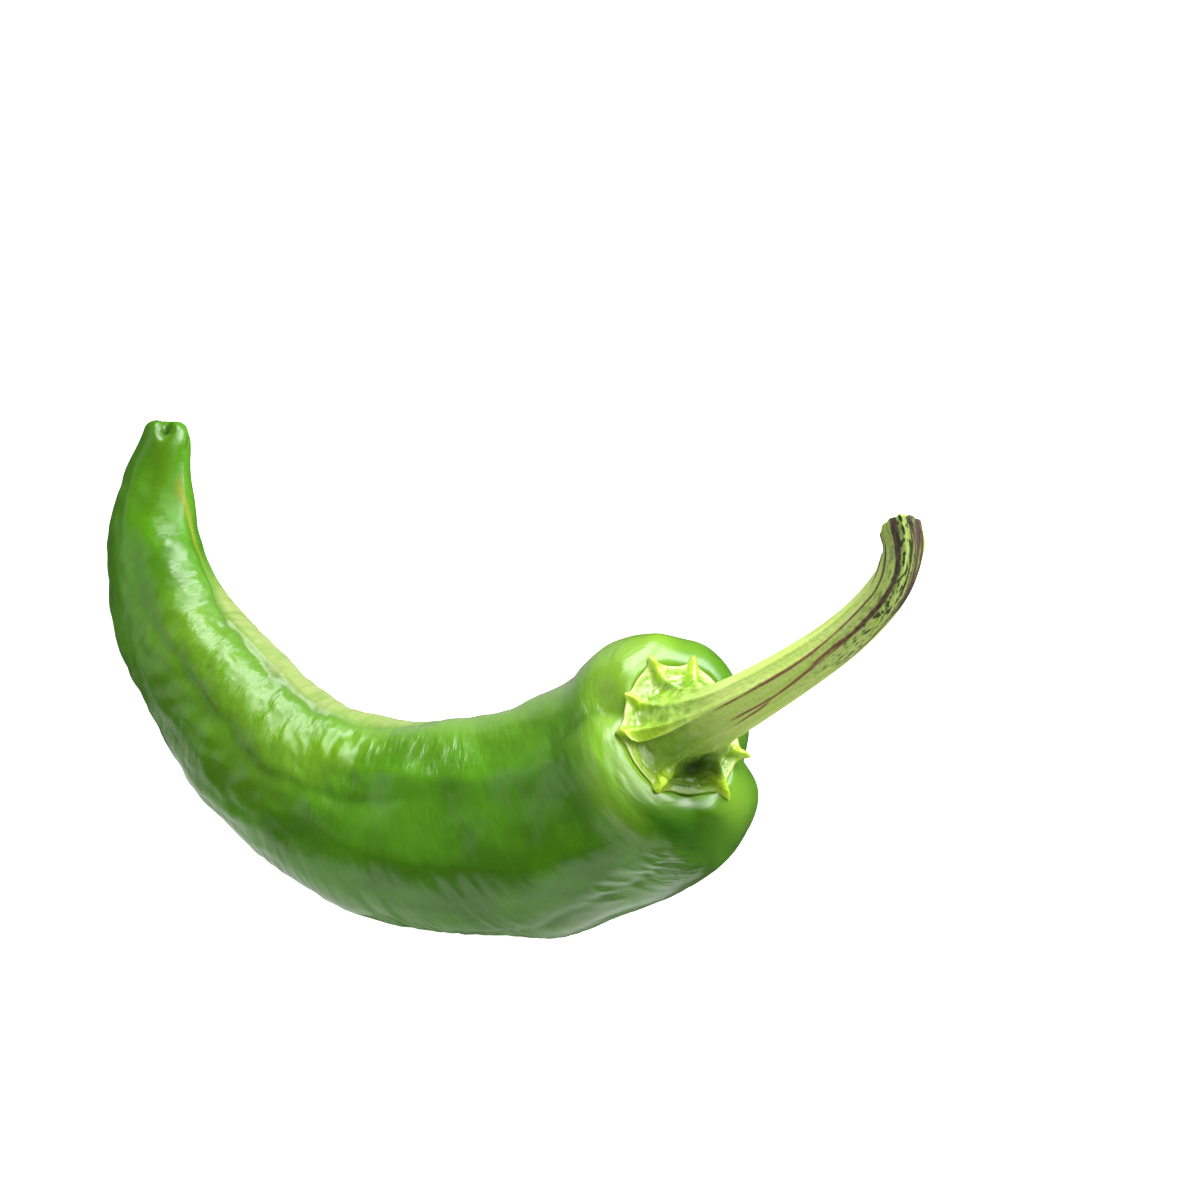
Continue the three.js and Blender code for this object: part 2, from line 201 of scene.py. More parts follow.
# Sides of the pod with wrinkles of their own: the direction and its spread, and where along the pod each
# starts, is full, fades and ends.
INNER_SIDE = (-48, 58, 24, 60, 140, 158)
INNER_FACE = (-110, 34, 30, 44, 90, 108)
OUTER_SIDE = (80, 55, 30, 60, 158, 172)
# Two groups of deeper creases on the outer side: their places and reach.
CREASE_GROUPS = (114.5, 99)
CREASE_REACH = 5

# Slight slantwise waves: the height on a pod of WAVE_RADIUS, the length, the turns and the start.
WAVES = [
    (0.2, 3.7, 2, 0.7),
    (0.12, 2.3, -3, 2.1),
]
WAVE_RADIUS = 20
WAVE_FADE = (122, 152)

# Where the relief turns to one direction over the shoulder's rim, and how far that leans towards the stem.
RIM = (152, 166)
RIM_SLANT = 0.7

# The wrinkles run square across the pod at WRINKLE_TURN and slant elsewhere.
WRINKLE_SLANT = 0.58
WRINKLE_TURN = 50

# The calyx and stem. Each tooth is a direction, the reach of its tip, the lift of its tip and the height of
# the ridge that runs from it up the stem. The long ridge is the one that shows most.
LONG_RIDGE = 1.5
TEETH = [
    (-139, 15.4, 0.4, 0.8),
    (-101, 15.0, 0.7, 1.1),
    (-62, 14.0, 0.5, 0.7),
    (-28, 18.4, 0.6, LONG_RIDGE),
    (26, 15.6, 0.5, 1.1),
    (91, 17.2, 0.4, 1.2),
    (130, 15.6, 1.0, 0.9),
    (180, 15.0, 0.5, 0.8),
]
CALYX_RADIUS = 13.0
CALYX_GAP = -0.15
CALYX_FLATNESS = 1.6
CALYX_EDGE = 0.45
CALYX_DIP = 0.8
TOOTH_WIDTH = 0.75
TOOTH_BASE = 1.7
TOOTH_POINT_SHARE = 0.7
TOOTH_LIFT_START = 0.75
RIB_WIDTH = 1.6
RIB_HEIGHT = 0.55
RIB_HEIGHT_AT_FOOT = 0.36
RIB_HEIGHT_AT_END = 0.22
FLARE_START = 0.92
FLARE_DRAW = 0.62
FLARE_RISE = 0.5
FLARE_BEND = 8
FLARE_END = 15
# The calyx's underside, as shares of its reach, and the roll of its edge, as shares and heights.
UNDERSIDE = (0.01, 0.15, 0.3, 0.45, 0.6, 0.72, 0.84, 0.93, 0.98)
EDGE_ROLL = ((0.996, 0.05), (1, 0.14), (0.994, 0.25), (0.975, 0.35))
# Lengths that the masks and the detail know the underside and the foot of the flare by.
UNDERSIDE_LENGTH = -12
FLARE_FOOT = -11

# Hollows of the calyx between its ribs: the middle and reach along the flare, the direction, its spread and
# the depth. Their colour is darkened too, as painted shade.
CALYX_HOLLOWS = [
    (2, 3.2, 66, 16, 0.7),
    (-4, 2.5, 0, 13, 0.4),
    (-5, 2.5, 60, 14, 0.3),
    (-3, 3.0, 112, 10, 0.4),
    (-4, 3.0, -118, 12, 0.4),
    (-5, 2.5, -46, 9, 0.3),
]

# The stem's middle line and radius: the length from the bowl, the centre and the radius.
STEM_RINGS = [
    [7, 36.2, -8.9, 46.8, 6.2],
    [12, 39.4, -7.2, 50.7, 5.6],
    [19, 44.8, -4.2, 54.3, 5.0],
    [29, 53.3, 1.0, 58.0, 4.45],
    [39, 61.0, 6.4, 60.8, 4.1],
    [48, 67.1, 11.9, 62.8, 3.75],
    [56, 71.6, 18.0, 64.0, 3.55],
    [63, 73.3, 24.3, 64.4, 3.6],
    [69, 72.5, 29.9, 64.4, 3.8],
]
STEM_TWIST = 28
STEM_START = STEM_RINGS[0][0]
STEM_END = STEM_RINGS[-1][0]
# The cut end: how it slants upward and sideways, how far it is set back, the length over which the rings turn
# to its slant, its rounded rim as steps back and scales, and its face as shares of its radius.
CUT_SLANT = -22.6
CUT_SIDE_SLANT = 29.4
CUT_BACK = 2.7
CUT_TURN = 16
CUT_RIM = ((0.35, 1.0), (0.15, 0.985), (0.02, 0.95))
CUT_FACE = (0.9, 0.82, 0.7, 0.56, 0.42, 0.28, 0.14, 0.0)
CUT_DISH = 0.35

# The purple-brown stripes of the stem: rows of the length, the direction, the half width and the strength.
STRIPES = [
    [[14, -21, 0.2, 0], [17, -22, 0.25, 0.6], [25, -24, 0.35, 0.9], [35, -28, 0.35, 0.9], [45, -33, 0.3, 1],
     [54, -29, 0.3, 1], [60, -33, 0.3, 0.9], [69, -45, 0.3, 0.9]],
    [[16, 12, 0.2, 0], [18, 13, 0.25, 0.7], [26, 14, 0.3, 0.9], [31, 7, 0.45, 0.9], [38, -4, 0.6, 0.9],
     [46, 0, 0.6, 1], [53, 6, 0.7, 1], [58, 10, 0.8, 1], [65, 3, 0.8, 1], [69, 2, 0.8, 1]],
    [[16, 24, 0.15, 0], [17.5, 24, 0.2, 0.7], [22, 22, 0.2, 0.7], [28, 12, 0.2, 0]],
    [[24, -84, 0.15, 0], [26, -84, 0.2, 0.5], [33, -88, 0.2, 0.6], [42, -91, 0.2, 0.6], [50, -90, 0.2, 0]],
    [[50, -55, 0.15, 0], [56, -58, 0.15, 0.8], [69, -62, 0.15, 0.9]],
    [[52, -75, 0.15, 0], [58, -78, 0.15, 0.8], [69, -80, 0.15, 0.8]],
    [[30, 60, 0.3, 0], [38.5, 62, 0.4, 0.6], [45, 64, 0.7, 0.7], [49, 68, 1.2, 0.74], [53, 73, 1.7, 0.8],
     [57, 76, 2.0, 0.8], [63, 74, 2.1, 0.8], [69, 72, 2.1, 0.8]],
    [[48, 43, 0.1, 0], [53, 45, 0.2, 0.7], [60, 48, 0.25, 0.8], [69, 48, 0.3, 0.8]],
]

# The camera looks straight down from where the photo was taken. Its place, lens and sensor are in
# millimetres, and the distance that it sees from in metres.
CAMERA_PLACE = (18.45, 14.38, 880)
CAMERA_LENS = 135
CAMERA_SENSOR = 36
CAMERA_CLIP = 0.05

# The lights, in metres: the setting of its power, the place, the width and the height of each. They all aim at
# one point.
LIGHTS = {
    "softbox": ("softbox_power", (0.42, 0.58, 0.26), 1.2, 0.56),
    "upper_softbox": ("upper_power", (0.45, 0.38, 0.62), 0.7, 0.5),
    "strip_light_right": ("strip_power", (0.5, 0.36, 0.17), 0.32, 0.4),
    "strip_light_left": ("strip_power", (0.16, 0.6, 0.17), 0.3, 0.4),
    "top_softbox": ("top_power", (0, 0.1, 1.2), 1.5, 1.5),
    "side_softbox": ("side_power", (-0.66, 0.2, 0.34), 0.8, 0.6),
    "fill": ("fill_power", (-0.1, -0.8, 0.2), 1.4, 0.35),
}
LIGHTS_AIM = (0, -0.01, 0.02)
# The white cards on the table, in metres: the setting of the glow, the low and high corner, and the shares of
# the glow at the left and right of the fade.
CARDS = {
    "front_card": ("card_glow", (-0.03, -0.5), (0.055, -0.062), 0.35, 1.0),
    "left_card": ("side_card_glow", (-0.4, -0.5), (-0.031, -0.018), 1.0, 1.0),
    "back_card": ("back_card_glow", (-0.045, -0.004), (0.03, 0.4), 1.0, 0.0),
}
CARD_FADE = 0.03
# The table and the cards lie just below the pepper, in millimetres.
TABLE_HEIGHT = -0.05
CARD_HEIGHT = -0.04


def bell(x):
    return np.exp(-x * x)


def smoothstep(x, low, high):
    t = np.clip((x - low) / (high - low), 0, 1)
    return t * t * (3 - 2 * t)


def mix(a, b, share):
    return a + (b - a) * share


def turn(start, end):
    """The signed angle in degrees from one direction to another, between -180 and 180."""
    return np.mod(end - start + 180, 360) - 180


def spot(place, degrees, middle, reach, direction, spread):
    """A soft spot, 1 in its middle."""
    return bell((place - middle) / reach) * bell(turn(direction, degrees) / spread)


def spots(rows, place, degrees):
    """The strongest of several soft spots: their places, reaches, directions, spreads and strengths."""
    return np.max([strength * spot(place, degrees, *where) for *where, strength in rows], axis=0)


def stretch(place, start, full, fading, end):
    """1 from full to fading, and 0 before the start and after the end."""
    return smoothstep(place, start, full) * (1 - smoothstep(place, fading, end))


def on_side(place, degrees, direction, spread, *ends):
    return bell(turn(direction, degrees) / spread) * stretch(place, *ends)


def unit(vectors):
    return vectors / np.linalg.norm(vectors, axis=-1, keepdims=True)


def through(table, place):
    """A smooth curve through the rows of a table, read at an array of places: one array for each value."""
    rows = np.array(table, float)
    place = np.asarray(place, float)
    at = place.ravel()
    i = np.clip(np.searchsorted(rows[:, 0], at, side="left") - 1, 0, len(rows) - 2)
    before, here, following = rows[np.maximum(i - 1, 0)], rows[i], rows[i + 1]
    beyond = rows[np.minimum(i + 2, len(rows) - 1)]
    span = following[:, :1] - here[:, :1]
    t = np.clip((at[:, None] - here[:, :1]) / span, 0, 1)
    leave = (following - before) / (following[:, :1] - before[:, :1]) * span
    arrive = (beyond - here) / (beyond[:, :1] - here[:, :1]) * span
    rise = following - here
    bend = t * (leave + arrive - 2 * rise)
    values = here + t * (leave + t * (3 * rise - 2 * leave - arrive + bend))
    return [column.reshape(place.shape) for column in values[:, 1:].T]


def frame_of(heading, lift):
    """The axis, the upward side and the outer side of rings with this heading and lift."""
    h, l = np.radians(heading), np.radians(lift)
    axis = np.stack([np.cos(l) * np.cos(h), np.cos(l) * np.sin(h), np.sin(l)], -1)
    up = np.stack([-np.sin(l) * np.cos(h), -np.sin(l) * np.sin(h), np.cos(l)], -1)
    side = np.stack([np.sin(h), -np.cos(h), np.zeros_like(h)], -1)
    return axis, up, side


HEAD_AXIS, HEAD_UP, HEAD_SIDE = frame_of(*POD_RINGS[-1][4:6])
CREST_RADIUS = sum(POD_RINGS[-1][6:8]) / 2


def pod_body(place, angle, flatness=BOWL_FLATNESS):
    """Points of the smooth pod for places along it and directions in radians."""
    before_tip = np.clip(1 - place / TIP_ROUNDING, 0, 1)
    tip_scale = np.sqrt(1 - before_tip**2)
    dimple = np.where(place < TIP_ROUNDING, TIP_DIMPLE * bell(tip_scale / TIP_DIMPLE_SHARE), 0)
    start, slope, _, _ = through(SHOULDER_SIDES, turn(0, np.degrees(angle)))
    body = ring(np.minimum(place, start), angle, tip_scale, dimple)
    bowl_scale = np.clip((BOWL_END - place) / (BOWL_END - CREST_PLACE), 0, 1)
    rise = CREST_RADIUS * np.tan(np.radians(slope)) * (1 - bowl_scale) * bowl_scale**8
    depth = rise - BOWL_DEPTH * (1 + np.cos(np.pi * bowl_scale**flatness)) / 2
    bowl = ring(np.full_like(place, CREST_PLACE), angle, bowl_scale, depth)
    t = np.clip((place - start) / (CREST_PLACE - start), 0, 1)
    shoulder = shoulder_round(t, angle)
    on_shoulder, in_bowl = (place > start)[..., None], (place > CREST_PLACE)[..., None]
    return np.where(in_bowl, bowl, np.where(on_shoulder, shoulder, body))


def ring(place, angle, scale, along):
    """Points of the body's rings, scaled and moved along the axis."""
    x, y, z, heading, lift, across, tall = through(POD_RINGS, place)
    axis, up, side = frame_of(heading, lift)
    return (
        np.stack([x, y, z], -1)
        + axis * along[..., None]
        + up * (scale * tall * np.cos(angle))[..., None]
        + side * (scale * across * np.sin(angle))[..., None]
    )


def shoulder_round(t, angle):
    """The shoulder's curve from the last body ring (t = 0) over to the crest (t = 1)."""
    one, none = np.ones_like(angle), np.zeros_like(angle)
    place, slope, leave, arrive = through(SHOULDER_SIDES, turn(0, np.degrees(angle)))
    start = ring(place, angle, one, none)
    heading = unit(start - ring(place - 1, angle, one, none))
    crest = ring(one * CREST_PLACE, angle, one, none)
    middle = ring(one * CREST_PLACE, angle, none, none)
    outward = unit(crest - middle)
    sine, cosine = np.sin(np.radians(slope))[..., None], np.cos(np.radians(slope))[..., None]
    down, across = outward * cosine - HEAD_AXIS * sine, HEAD_AXIS * cosine + outward * sine
    # The corner is where the body's heading meets the crest's slope.
    ahead = np.sum((crest - start) * across, -1) / np.sum(heading * across, -1)
    out = np.maximum(np.sum((start + heading * ahead[..., None] - crest) * down, -1), 3.0)
    first = start + heading * (leave * ahead)[..., None]
    second = crest + down * (arrive * out)[..., None]
    s = 1 - t[..., None]
    t = t[..., None]
    return s**3 * start + 3 * s * s * t * first + 3 * s * t * t * second + t**3 * crest


def pod_radius(place):
    values = through(POD_RINGS, np.minimum(place, CREST_PLACE))
    return (values[5] + values[6]) / 2


def furrow_arc(furrow, place, angle):
    """The distance round the skin from a furrow's bottom, and the furrow's depth there."""
    direction, depth = through(furrow["route"], place)
    waver = FURROW_WAVER * np.sin(place / 1.6 + direction / 40) * np.sin(place / 4.3)
    waver *= stretch(place, 16, 30, 120, 150)
    return pod_radius(place) * np.radians(turn(direction, np.degrees(angle))) + waver, depth


def relief(place, angle):
    """How far the skin stands out from the smooth pod."""
    degrees = np.degrees(angle)
    radius = pod_radius(place)
    height = np.zeros_like(place)
    narrow_share = mix(TIP_NARROW_SHARE, NARROW_SHARE, smoothstep(place, 3, 7))
    narrow_share *= 1 - smoothstep(place, 140, 165)
    for furrow in FURROWS:
        arc, depth = furrow_arc(furrow, place, angle)
        groove = bell(arc / np.minimum(furrow["narrow"], NARROW_LIMIT * radius))
        valley = bell(arc / np.minimum(furrow["wide"], WIDE_LIMIT * radius))
        height -= depth * mix(valley, groove, narrow_share)
    for *where, rise in SWELLINGS:
        height += rise * spot(place, degrees, *where)
    for low, high, direction, half_span, flatness in FACES:
        inside = np.clip(1 - (turn(direction, degrees) / half_span) ** 2, 0, 1)
        fade = min(FACE_FADE, (high - low) / 2)
        along = stretch(place, low, low + fade, high - fade, high)
        height -= flatness * along * radius * (1 - math.cos(math.radians(half_span))) * inside**FACE_EDGE
    wave_share = 1 - smoothstep(place, *WAVE_FADE)
    for rise, length, turns, start in WAVES:
        height += wave_share * rise * radius / WAVE_RADIUS * np.sin(place / length + turns * angle + start)
    tip = np.clip(place / TIP_ROUNDING, 0, 1)
    bowl = np.clip((BOWL_END - place) / (BOWL_END - CREST_PLACE), 0, 1)
    return np.sqrt(tip) * bowl * height


def pod_normal(place, angle):
    step = 0.05
    place = np.clip(place, step, BOWL_END - step)
    forward = pod_body(place + step, angle) - pod_body(place - step, angle)
    round_it = pod_body(place, angle + step) - pod_body(place, angle - step)
    return unit(np.cross(round_it, forward))


def relief_direction(place, angle):
    """Outward, and over the shoulder's rim one direction for all of its rings."""
    rim = unit(
        HEAD_AXIS * RIM_SLANT
        + HEAD_UP * np.cos(angle)[..., None]
        + HEAD_SIDE * np.sin(angle)[..., None]
    )
    share = smoothstep(place, *RIM)[..., None]
    return unit(mix(pod_normal(place, angle), rim, share))


def grain(points, along, across, seed):
    """Smooth random values, about -1 to 1, whose bumps measure the given lengths along and across."""
    offset = np.array([17.3, 5.9, 11.7]) * seed
    scaled = points.reshape(-1, 3) / np.array([along, across, across]) + offset
    return np.array([noise.noise(Vector(p)) for p in scaled]).reshape(points.shape[:-1])


def creased(points, along, across, seed):
    """As grain, but with sharp crests of height 1."""
    return 1 - 2 * np.abs(grain(points, along, across, seed))


def grid_normals(grid):
    """Outward normals of a grid of points whose columns go round."""
    forward = np.gradient(grid, axis=0)
    round_it = np.roll(grid, -1, axis=1) - np.roll(grid, 1, axis=1)
    normals = np.cross(round_it, forward)
    length = np.linalg.norm(normals, axis=-1, keepdims=True)
    return normals / np.maximum(length, 1e-9)


def straightened(place, angle, radius):
    """Coordinates in millimetres on the pod or stem laid out straight, so that patterns follow its bend."""
    return np.stack([place, radius * np.sin(angle), radius * np.cos(angle)], -1)


def closed_mesh(name, grid, attributes):
    """A closed mesh from a grid of points in millimetres, its first and last row drawn to a point each."""
    rows, columns = grid.shape[:2]
    points = np.concatenate([grid[0, :1], grid[1:-1].reshape(-1, 3), grid[-1, :1]]) * MM
    last = len(points) - 1
    j = np.arange(columns)
    k = (j + 1) % columns
    start = 1 + np.arange(rows - 3)[:, None] * columns
    quads = np.stack([start + j, start + k, start + columns + k, start + columns + j], -1).reshape(-1, 4)
    first_fan = np.stack([np.zeros_like(j), 1 + k, 1 + j], -1)
    last_fan = np.stack([np.full_like(j, last), last - columns + j, last - columns + k], -1)
    mesh = bpy.data.meshes.new(name)
    mesh.from_pydata(points.tolist(), [], first_fan.tolist() + quads.tolist() + last_fan.tolist())
    for key, values in attributes.items():
        vector = values.ndim == 3
        flat = np.concatenate([values[0, :1], values[1:-1].reshape((-1,) + values.shape[2:]), values[-1, :1]])
        layer = mesh.attributes.new(key, "FLOAT_VECTOR" if vector else "FLOAT", "POINT")
        layer.data.foreach_set("vector" if vector else "value", flat.astype(np.float32).ravel())
    mesh.shade_smooth()
    mesh.validate()
    return mesh


def slanted(place, angle):
    """Straight coordinates, sheared so that wrinkles slant on the outer side and not on the inner one."""
    radius = pod_radius(place)
    shear = WRINKLE_SLANT * radius * np.sin(angle - math.radians(WRINKLE_TURN))
    return straightened(place - shear, angle, radius)


def skin_detail(place, angle, settings):
    """Dents, lumps and cross wrinkles of the pod, in millimetres."""
    degrees = np.degrees(angle)
    straight = straightened(place, angle, pod_radius(place))
    wrinkled = slanted(place, angle)
    ridge_arc, _ = furrow_arc(RIDGE_FURROW, place, angle)
    inner_arc, _ = furrow_arc(INNER_FURROW, place, angle)
    outer_arc, _ = furrow_arc(OUTER_FURROW, place, angle)
    # Where each kind of wrinkle lies.
    ridge = smoothstep(-ridge_arc, -1, 4) * smoothstep(inner_arc, -1, 3) * stretch(place, 14, 24, 84, 104)
    left_side = smoothstep(ridge_arc, -2, 5) * stretch(place, 8, 16, 70, 90)
    inner_side = on_side(place, degrees, *INNER_SIDE)
    inner_face = on_side(place, degrees, *INNER_FACE)
    outer_side = on_side(place, degrees, *OUTER_SIDE)
    outer_furrow = bell((outer_arc + 1) / 4.5) * stretch(place, 122, 134, 156, 166)
    groups = sum(bell((wrinkled[..., 0] - middle) / CREASE_REACH) for middle in CREASE_GROUPS)
    calm = 1 - smoothstep(place, 158, 172)
    # The kinds of wrinkles.
    dents = grain(straight, 9, 8, 1) + 0.5 * grain(straight, 4.5, 4.5, 2)
    blotches = grain(straight, 3.2, 3.0, 11)
    lumps = grain(wrinkled, 1.8, 2.7, 7) + 0.3 * grain(wrinkled, 1.0, 1.8, 9)
    swells = grain(wrinkled, 3.6, 9, 12)
    folds = creased(wrinkled, 1.6, 7, 3)
    streaks = creased(wrinkled, 1.7, 14, 5)
    creases = creased(wrinkled, 3.0, 5.0, 8) - 0.5
    broad_creases = creased(wrinkled, 2.2, 18, 13) - 0.6
    patches = 0.5 + 0.5 * np.clip(2 * grain(straight, 14, 12, 6), -1, 1)
    height = settings.dent_depth * dents * (0.35 + 0.65 * calm)
    height += settings.wrinkle_depth * (
        blotches * (0.2 * calm + 1.9 * left_side)
        + swells * (2.2 * ridge + 0.5 * inner_side)
        + lumps * (0.65 * ridge + 0.2 * inner_side + 0.1 * calm)
        + folds * (0.25 * ridge + 0.4 * inner_side + 1.1 * inner_face) * (0.3 + 0.7 * patches)
        + streaks * 1.1 * outer_side * (0.2 + 0.8 * patches) * (1 - 0.6 * smoothstep(place, 120, 140))
        + creases * 1.3 * outer_furrow
        + broad_creases * 2.2 * groups * outer_side
    )
    return height / MM * stretch(place, 0.6, 5, 170, 184)


def pod_masks(place, angle):
    """Where the pod's colours lie, and how waxy, taut and crinkled its skin is."""
    degrees = np.degrees(angle)
    soft = {key: spots(rows, place, degrees) for key, rows in SPOTS.items()}
    inner_arc, _ = furrow_arc(INNER_FURROW, place, angle)
    # Partly painted light: the inner face of the bend is painted pale, partly its own paler colour, partly the
    # softboxes' light on it.
    inner = smoothstep(-inner_arc, -1, 3) * (1 - smoothstep(np.abs(turn(-112, degrees)), 50, 82))
    inner *= stretch(place, 26, 42, 92, 112)
    line = bell((inner_arc + 0.6) / 0.9) * stretch(place, 9, 14, 60, 78)
    line *= 1 - 0.8 * smoothstep(place, 20, 32)
    shoulder = smoothstep(place, 143, 166) * (1 - 0.85 * smoothstep(np.abs(turn(-50, degrees)), 55, 110))
    crest = 0.6 * smoothstep(place, 173, 177)
    furrows = [furrow_arc(furrow, place, angle) for furrow in FURROWS]
    # The lighter side lies on top and turns inward after the bend. It is partly the skin's own lighter green
    # and partly painted light, on the side turned to the softboxes.
    after_bend = smoothstep(place, 72, 96)
    upper = bell(turn(mix(-14, -80, after_bend), degrees) / mix(46, 26, after_bend))
    upper *= mix(0.9, 0.8, after_bend) * stretch(place, 26, 44, 146, 162)
    dull_tip = 0.75 * stretch(place, 4, 8, 18, 28) * bell(turn(-24, degrees) / 50)
    return {
        "inner": inner,
        "line": np.maximum(line, soft["line"]),
        "shoulder": np.maximum(np.maximum(shoulder, crest), soft["shoulder"]),
        # Painted light: the bulge is painted lighter where it faces the lights.
        "bulge": soft["bulge"],
        # Painted shade below the calyx.
        "shade": soft["shade"],
        # Partly painted light on the side turned to the softboxes.
        "upper": upper,
        # Painted shade: the furrow mask darkens the bottoms of the furrows by their depth, where shade falls
        # in them.
        "furrow": np.max([bell(arc / 1.6) * np.clip(depth / 2, 0, 1) for arc, depth in furrows], axis=0),
        "crinkle": np.maximum(LEAST_CRINKLE, soft["crinkle"]),
        "taut": smoothstep(place, 148, 160) * bell(turn(0, degrees) / 50),
        "wax": (1 - dull_tip) * (1 - 0.7 * inner) * (1 - soft["dull"]),
    }


def build_pod(settings):
    tip = TIP_ROUNDING * np.array(TIP_RINGS)
    body = mix(TIP_ROUNDING, CREST_PLACE, np.arange(settings.rings) / settings.rings)
    bowl = mix(CREST_PLACE, BOWL_END, np.linspace(0, 1, settings.rings // 11))
    angles = 2 * np.pi * np.arange(settings.columns) / settings.columns
    place, angle = np.meshgrid(np.concatenate([tip, body, bowl]), angles, indexing="ij")
    skin = pod_body(place, angle) + relief_direction(place, angle) * relief(place, angle)[..., None]
    skin += grid_normals(skin) * skin_detail(place, angle, settings)[..., None]
    # The pod is pressed flat where it lies on the table.
    skin[..., 2] = np.maximum(skin[..., 2], 0)
    straight = straightened(place, angle, pod_radius(place))
    spaces = {"straight": straight, "slanted": slanted(place, angle)}
    mesh = closed_mesh("pod_skin", skin, {**spaces, **pod_masks(place, angle)})
    return bpy.data.objects.new("pod_skin", mesh)


def nearest_tooth(degrees):
    """For each direction the reach, lift and ridge of the nearest tooth, and how far it is along the edge."""
    teeth = np.array(TEETH, float)
    away = turn(teeth[:, 0], degrees[..., None])
    nearest = np.argmin(np.abs(away), axis=-1)
    arc = CALYX_RADIUS * np.radians(np.take_along_axis(away, nearest[..., None], -1)[..., 0])
    return teeth[nearest, 1], teeth[nearest, 2], teeth[nearest, 3], arc


def calyx_reach(degrees):
    reach, _, _, arc = nearest_tooth(degrees)
    spike = mix(bell(arc / TOOTH_BASE), bell(arc / TOOTH_WIDTH), TOOTH_POINT_SHARE)
    return mix(CALYX_RADIUS, reach, spike)


def over_bowl(share, degrees, height):
    """Points over the bowl at shares of the calyx's reach. The calyx bridges the furrows."""
    _, lift, _, arc = nearest_tooth(degrees)
    place = mix(BOWL_END, CREST_PLACE, share * calyx_reach(degrees) / CREST_RADIUS)
    angle = np.radians(degrees)
    away = unit(pod_normal(place, angle) + HEAD_AXIS)
    lifted = np.maximum(share - TOOTH_LIFT_START, 0) / (1 - TOOTH_LIFT_START) * bell(arc / TOOTH_WIDTH)
    dipped = np.maximum(relief(place, angle), -CALYX_DIP)
    return (
        pod_body(place, angle, CALYX_FLATNESS)
        + relief_direction(place, angle) * dipped[..., None]
        + away * (CALYX_GAP + lift * lifted + height)[..., None]
    )


def stem_points(place, degrees, scale=1.0, along=0.0):
    """Points of the stem's skin at lengths from the bowl."""
    x, y, z, radius = through(STEM_RINGS, place)
    step = 0.5
    ahead = np.stack(through(STEM_RINGS, place + step)[:3], -1)
    behind = np.stack(through(STEM_RINGS, place - step)[:3], -1)
    axis = unit(ahead - behind)
    up = unit(HEAD_UP - axis * (axis @ HEAD_UP)[..., None])
    side = np.cross(axis, up)
    t = (place - STEM_START) / (STEM_END - STEM_START)
    rib = bell(nearest_tooth(degrees)[3] / RIB_WIDTH)
    ridge = mix(RIB_HEIGHT_AT_FOOT, RIB_HEIGHT_AT_END, np.sqrt(t))
    reach = scale * (radius + ridge * (rib - 0.5))
    angle = np.radians(degrees + STEM_TWIST * t)
    slant = math.tan(math.radians(CUT_SIDE_SLANT)) * np.sin(angle)
    slant -= math.tan(math.radians(CUT_SLANT)) * np.cos(angle)
    slant = (slant * reach - CUT_BACK) * smoothstep(place, STEM_END - CUT_TURN, STEM_END)
    return (
        np.stack([x, y, z], -1)
        + axis * (along + slant)[..., None]
        + up * (reach * np.cos(angle))[..., None]
        + side * (reach * np.sin(angle))[..., None]
    )


def calyx_directions(columns_per_tooth):
    """Directions round the calyx, closer together at the teeth."""
    starts = np.array([tooth[0] for tooth in TEETH], float)
    widths = np.mod(np.roll(starts, -1) - starts, 360)
    share = np.arange(columns_per_tooth) / columns_per_tooth
    share = share - 0.7 * np.sin(2 * np.pi * share) / (2 * np.pi)
    return (starts[:, None] + widths[:, None] * share).ravel()


def build_calyx_stem(settings):
    directions = calyx_directions(settings.columns_per_tooth)
    around = np.ones(len(directions))
    rows, lengths, edges = [], [], []

    def add_row(points, length, edge):
        rows.append(points)
        lengths.append(around * length)
        edges.append(around * edge)

    def calyx_row(share, height, rib_share=0.0):
        rib = RIB_HEIGHT * bell(nearest_tooth(directions)[3] / RIB_WIDTH)
        return over_bowl(around * share, directions, height + rib_share * rib)

    def stem_row(place, scale=1.0, along=0.0):
        return stem_points(around * place, directions, scale, along)

    for share in UNDERSIDE:
        add_row(calyx_row(share, 0), UNDERSIDE_LENGTH, 1)
    for share, height in EDGE_ROLL:
        add_row(calyx_row(share, height), UNDERSIDE_LENGTH, 1)
    edge = calyx_row(FLARE_START, CALYX_EDGE, 0.5)
    drawn = calyx_row(FLARE_DRAW, CALYX_EDGE + FLARE_RISE, 1)
    bend = stem_row(FLARE_BEND)
    stem = stem_row(FLARE_END)
    for t in np.linspace(0, 1, settings.flare_rings):
        s = 1 - t
        points = s**3 * edge + 3 * s * s * t * drawn + 3 * s * t * t * bend + t**3 * stem
        add_row(points, mix(FLARE_FOOT, FLARE_END, t), 1 - smoothstep(t, 0.0, 0.05))
    for place in np.arange(FLARE_END + 0.5, STEM_END - 0.4, settings.stem_step / MM):
        add_row(stem_row(place), place, 0)
    for back, scale in CUT_RIM:
        add_row(stem_row(STEM_END - back, scale), STEM_END, 0)
    for scale in CUT_FACE:
        add_row(stem_row(STEM_END, scale, -CUT_DISH * (1 - scale)), STEM_END + 1, 0)

    grid, length, edge_share = np.array(rows), np.array(lengths), np.array(edges)
    degrees = np.broadcast_to(directions, length.shape)
    t = np.clip((length - STEM_START) / (STEM_END - STEM_START), 0, 1)
    radius = through(STEM_RINGS, np.clip(length, STEM_START, STEM_END))[3]
    straight = straightened(length, np.radians(degrees + STEM_TWIST * t), radius)
    grid += grid_normals(grid) * calyx_detail(length, degrees, straight)[..., None]
    masks = calyx_masks(length, degrees, edge_share, straight)
    mesh = closed_mesh("calyx_and_stem", grid, {"straight": straight, **masks})
    return bpy.data.objects.new("calyx_and_stem", mesh)


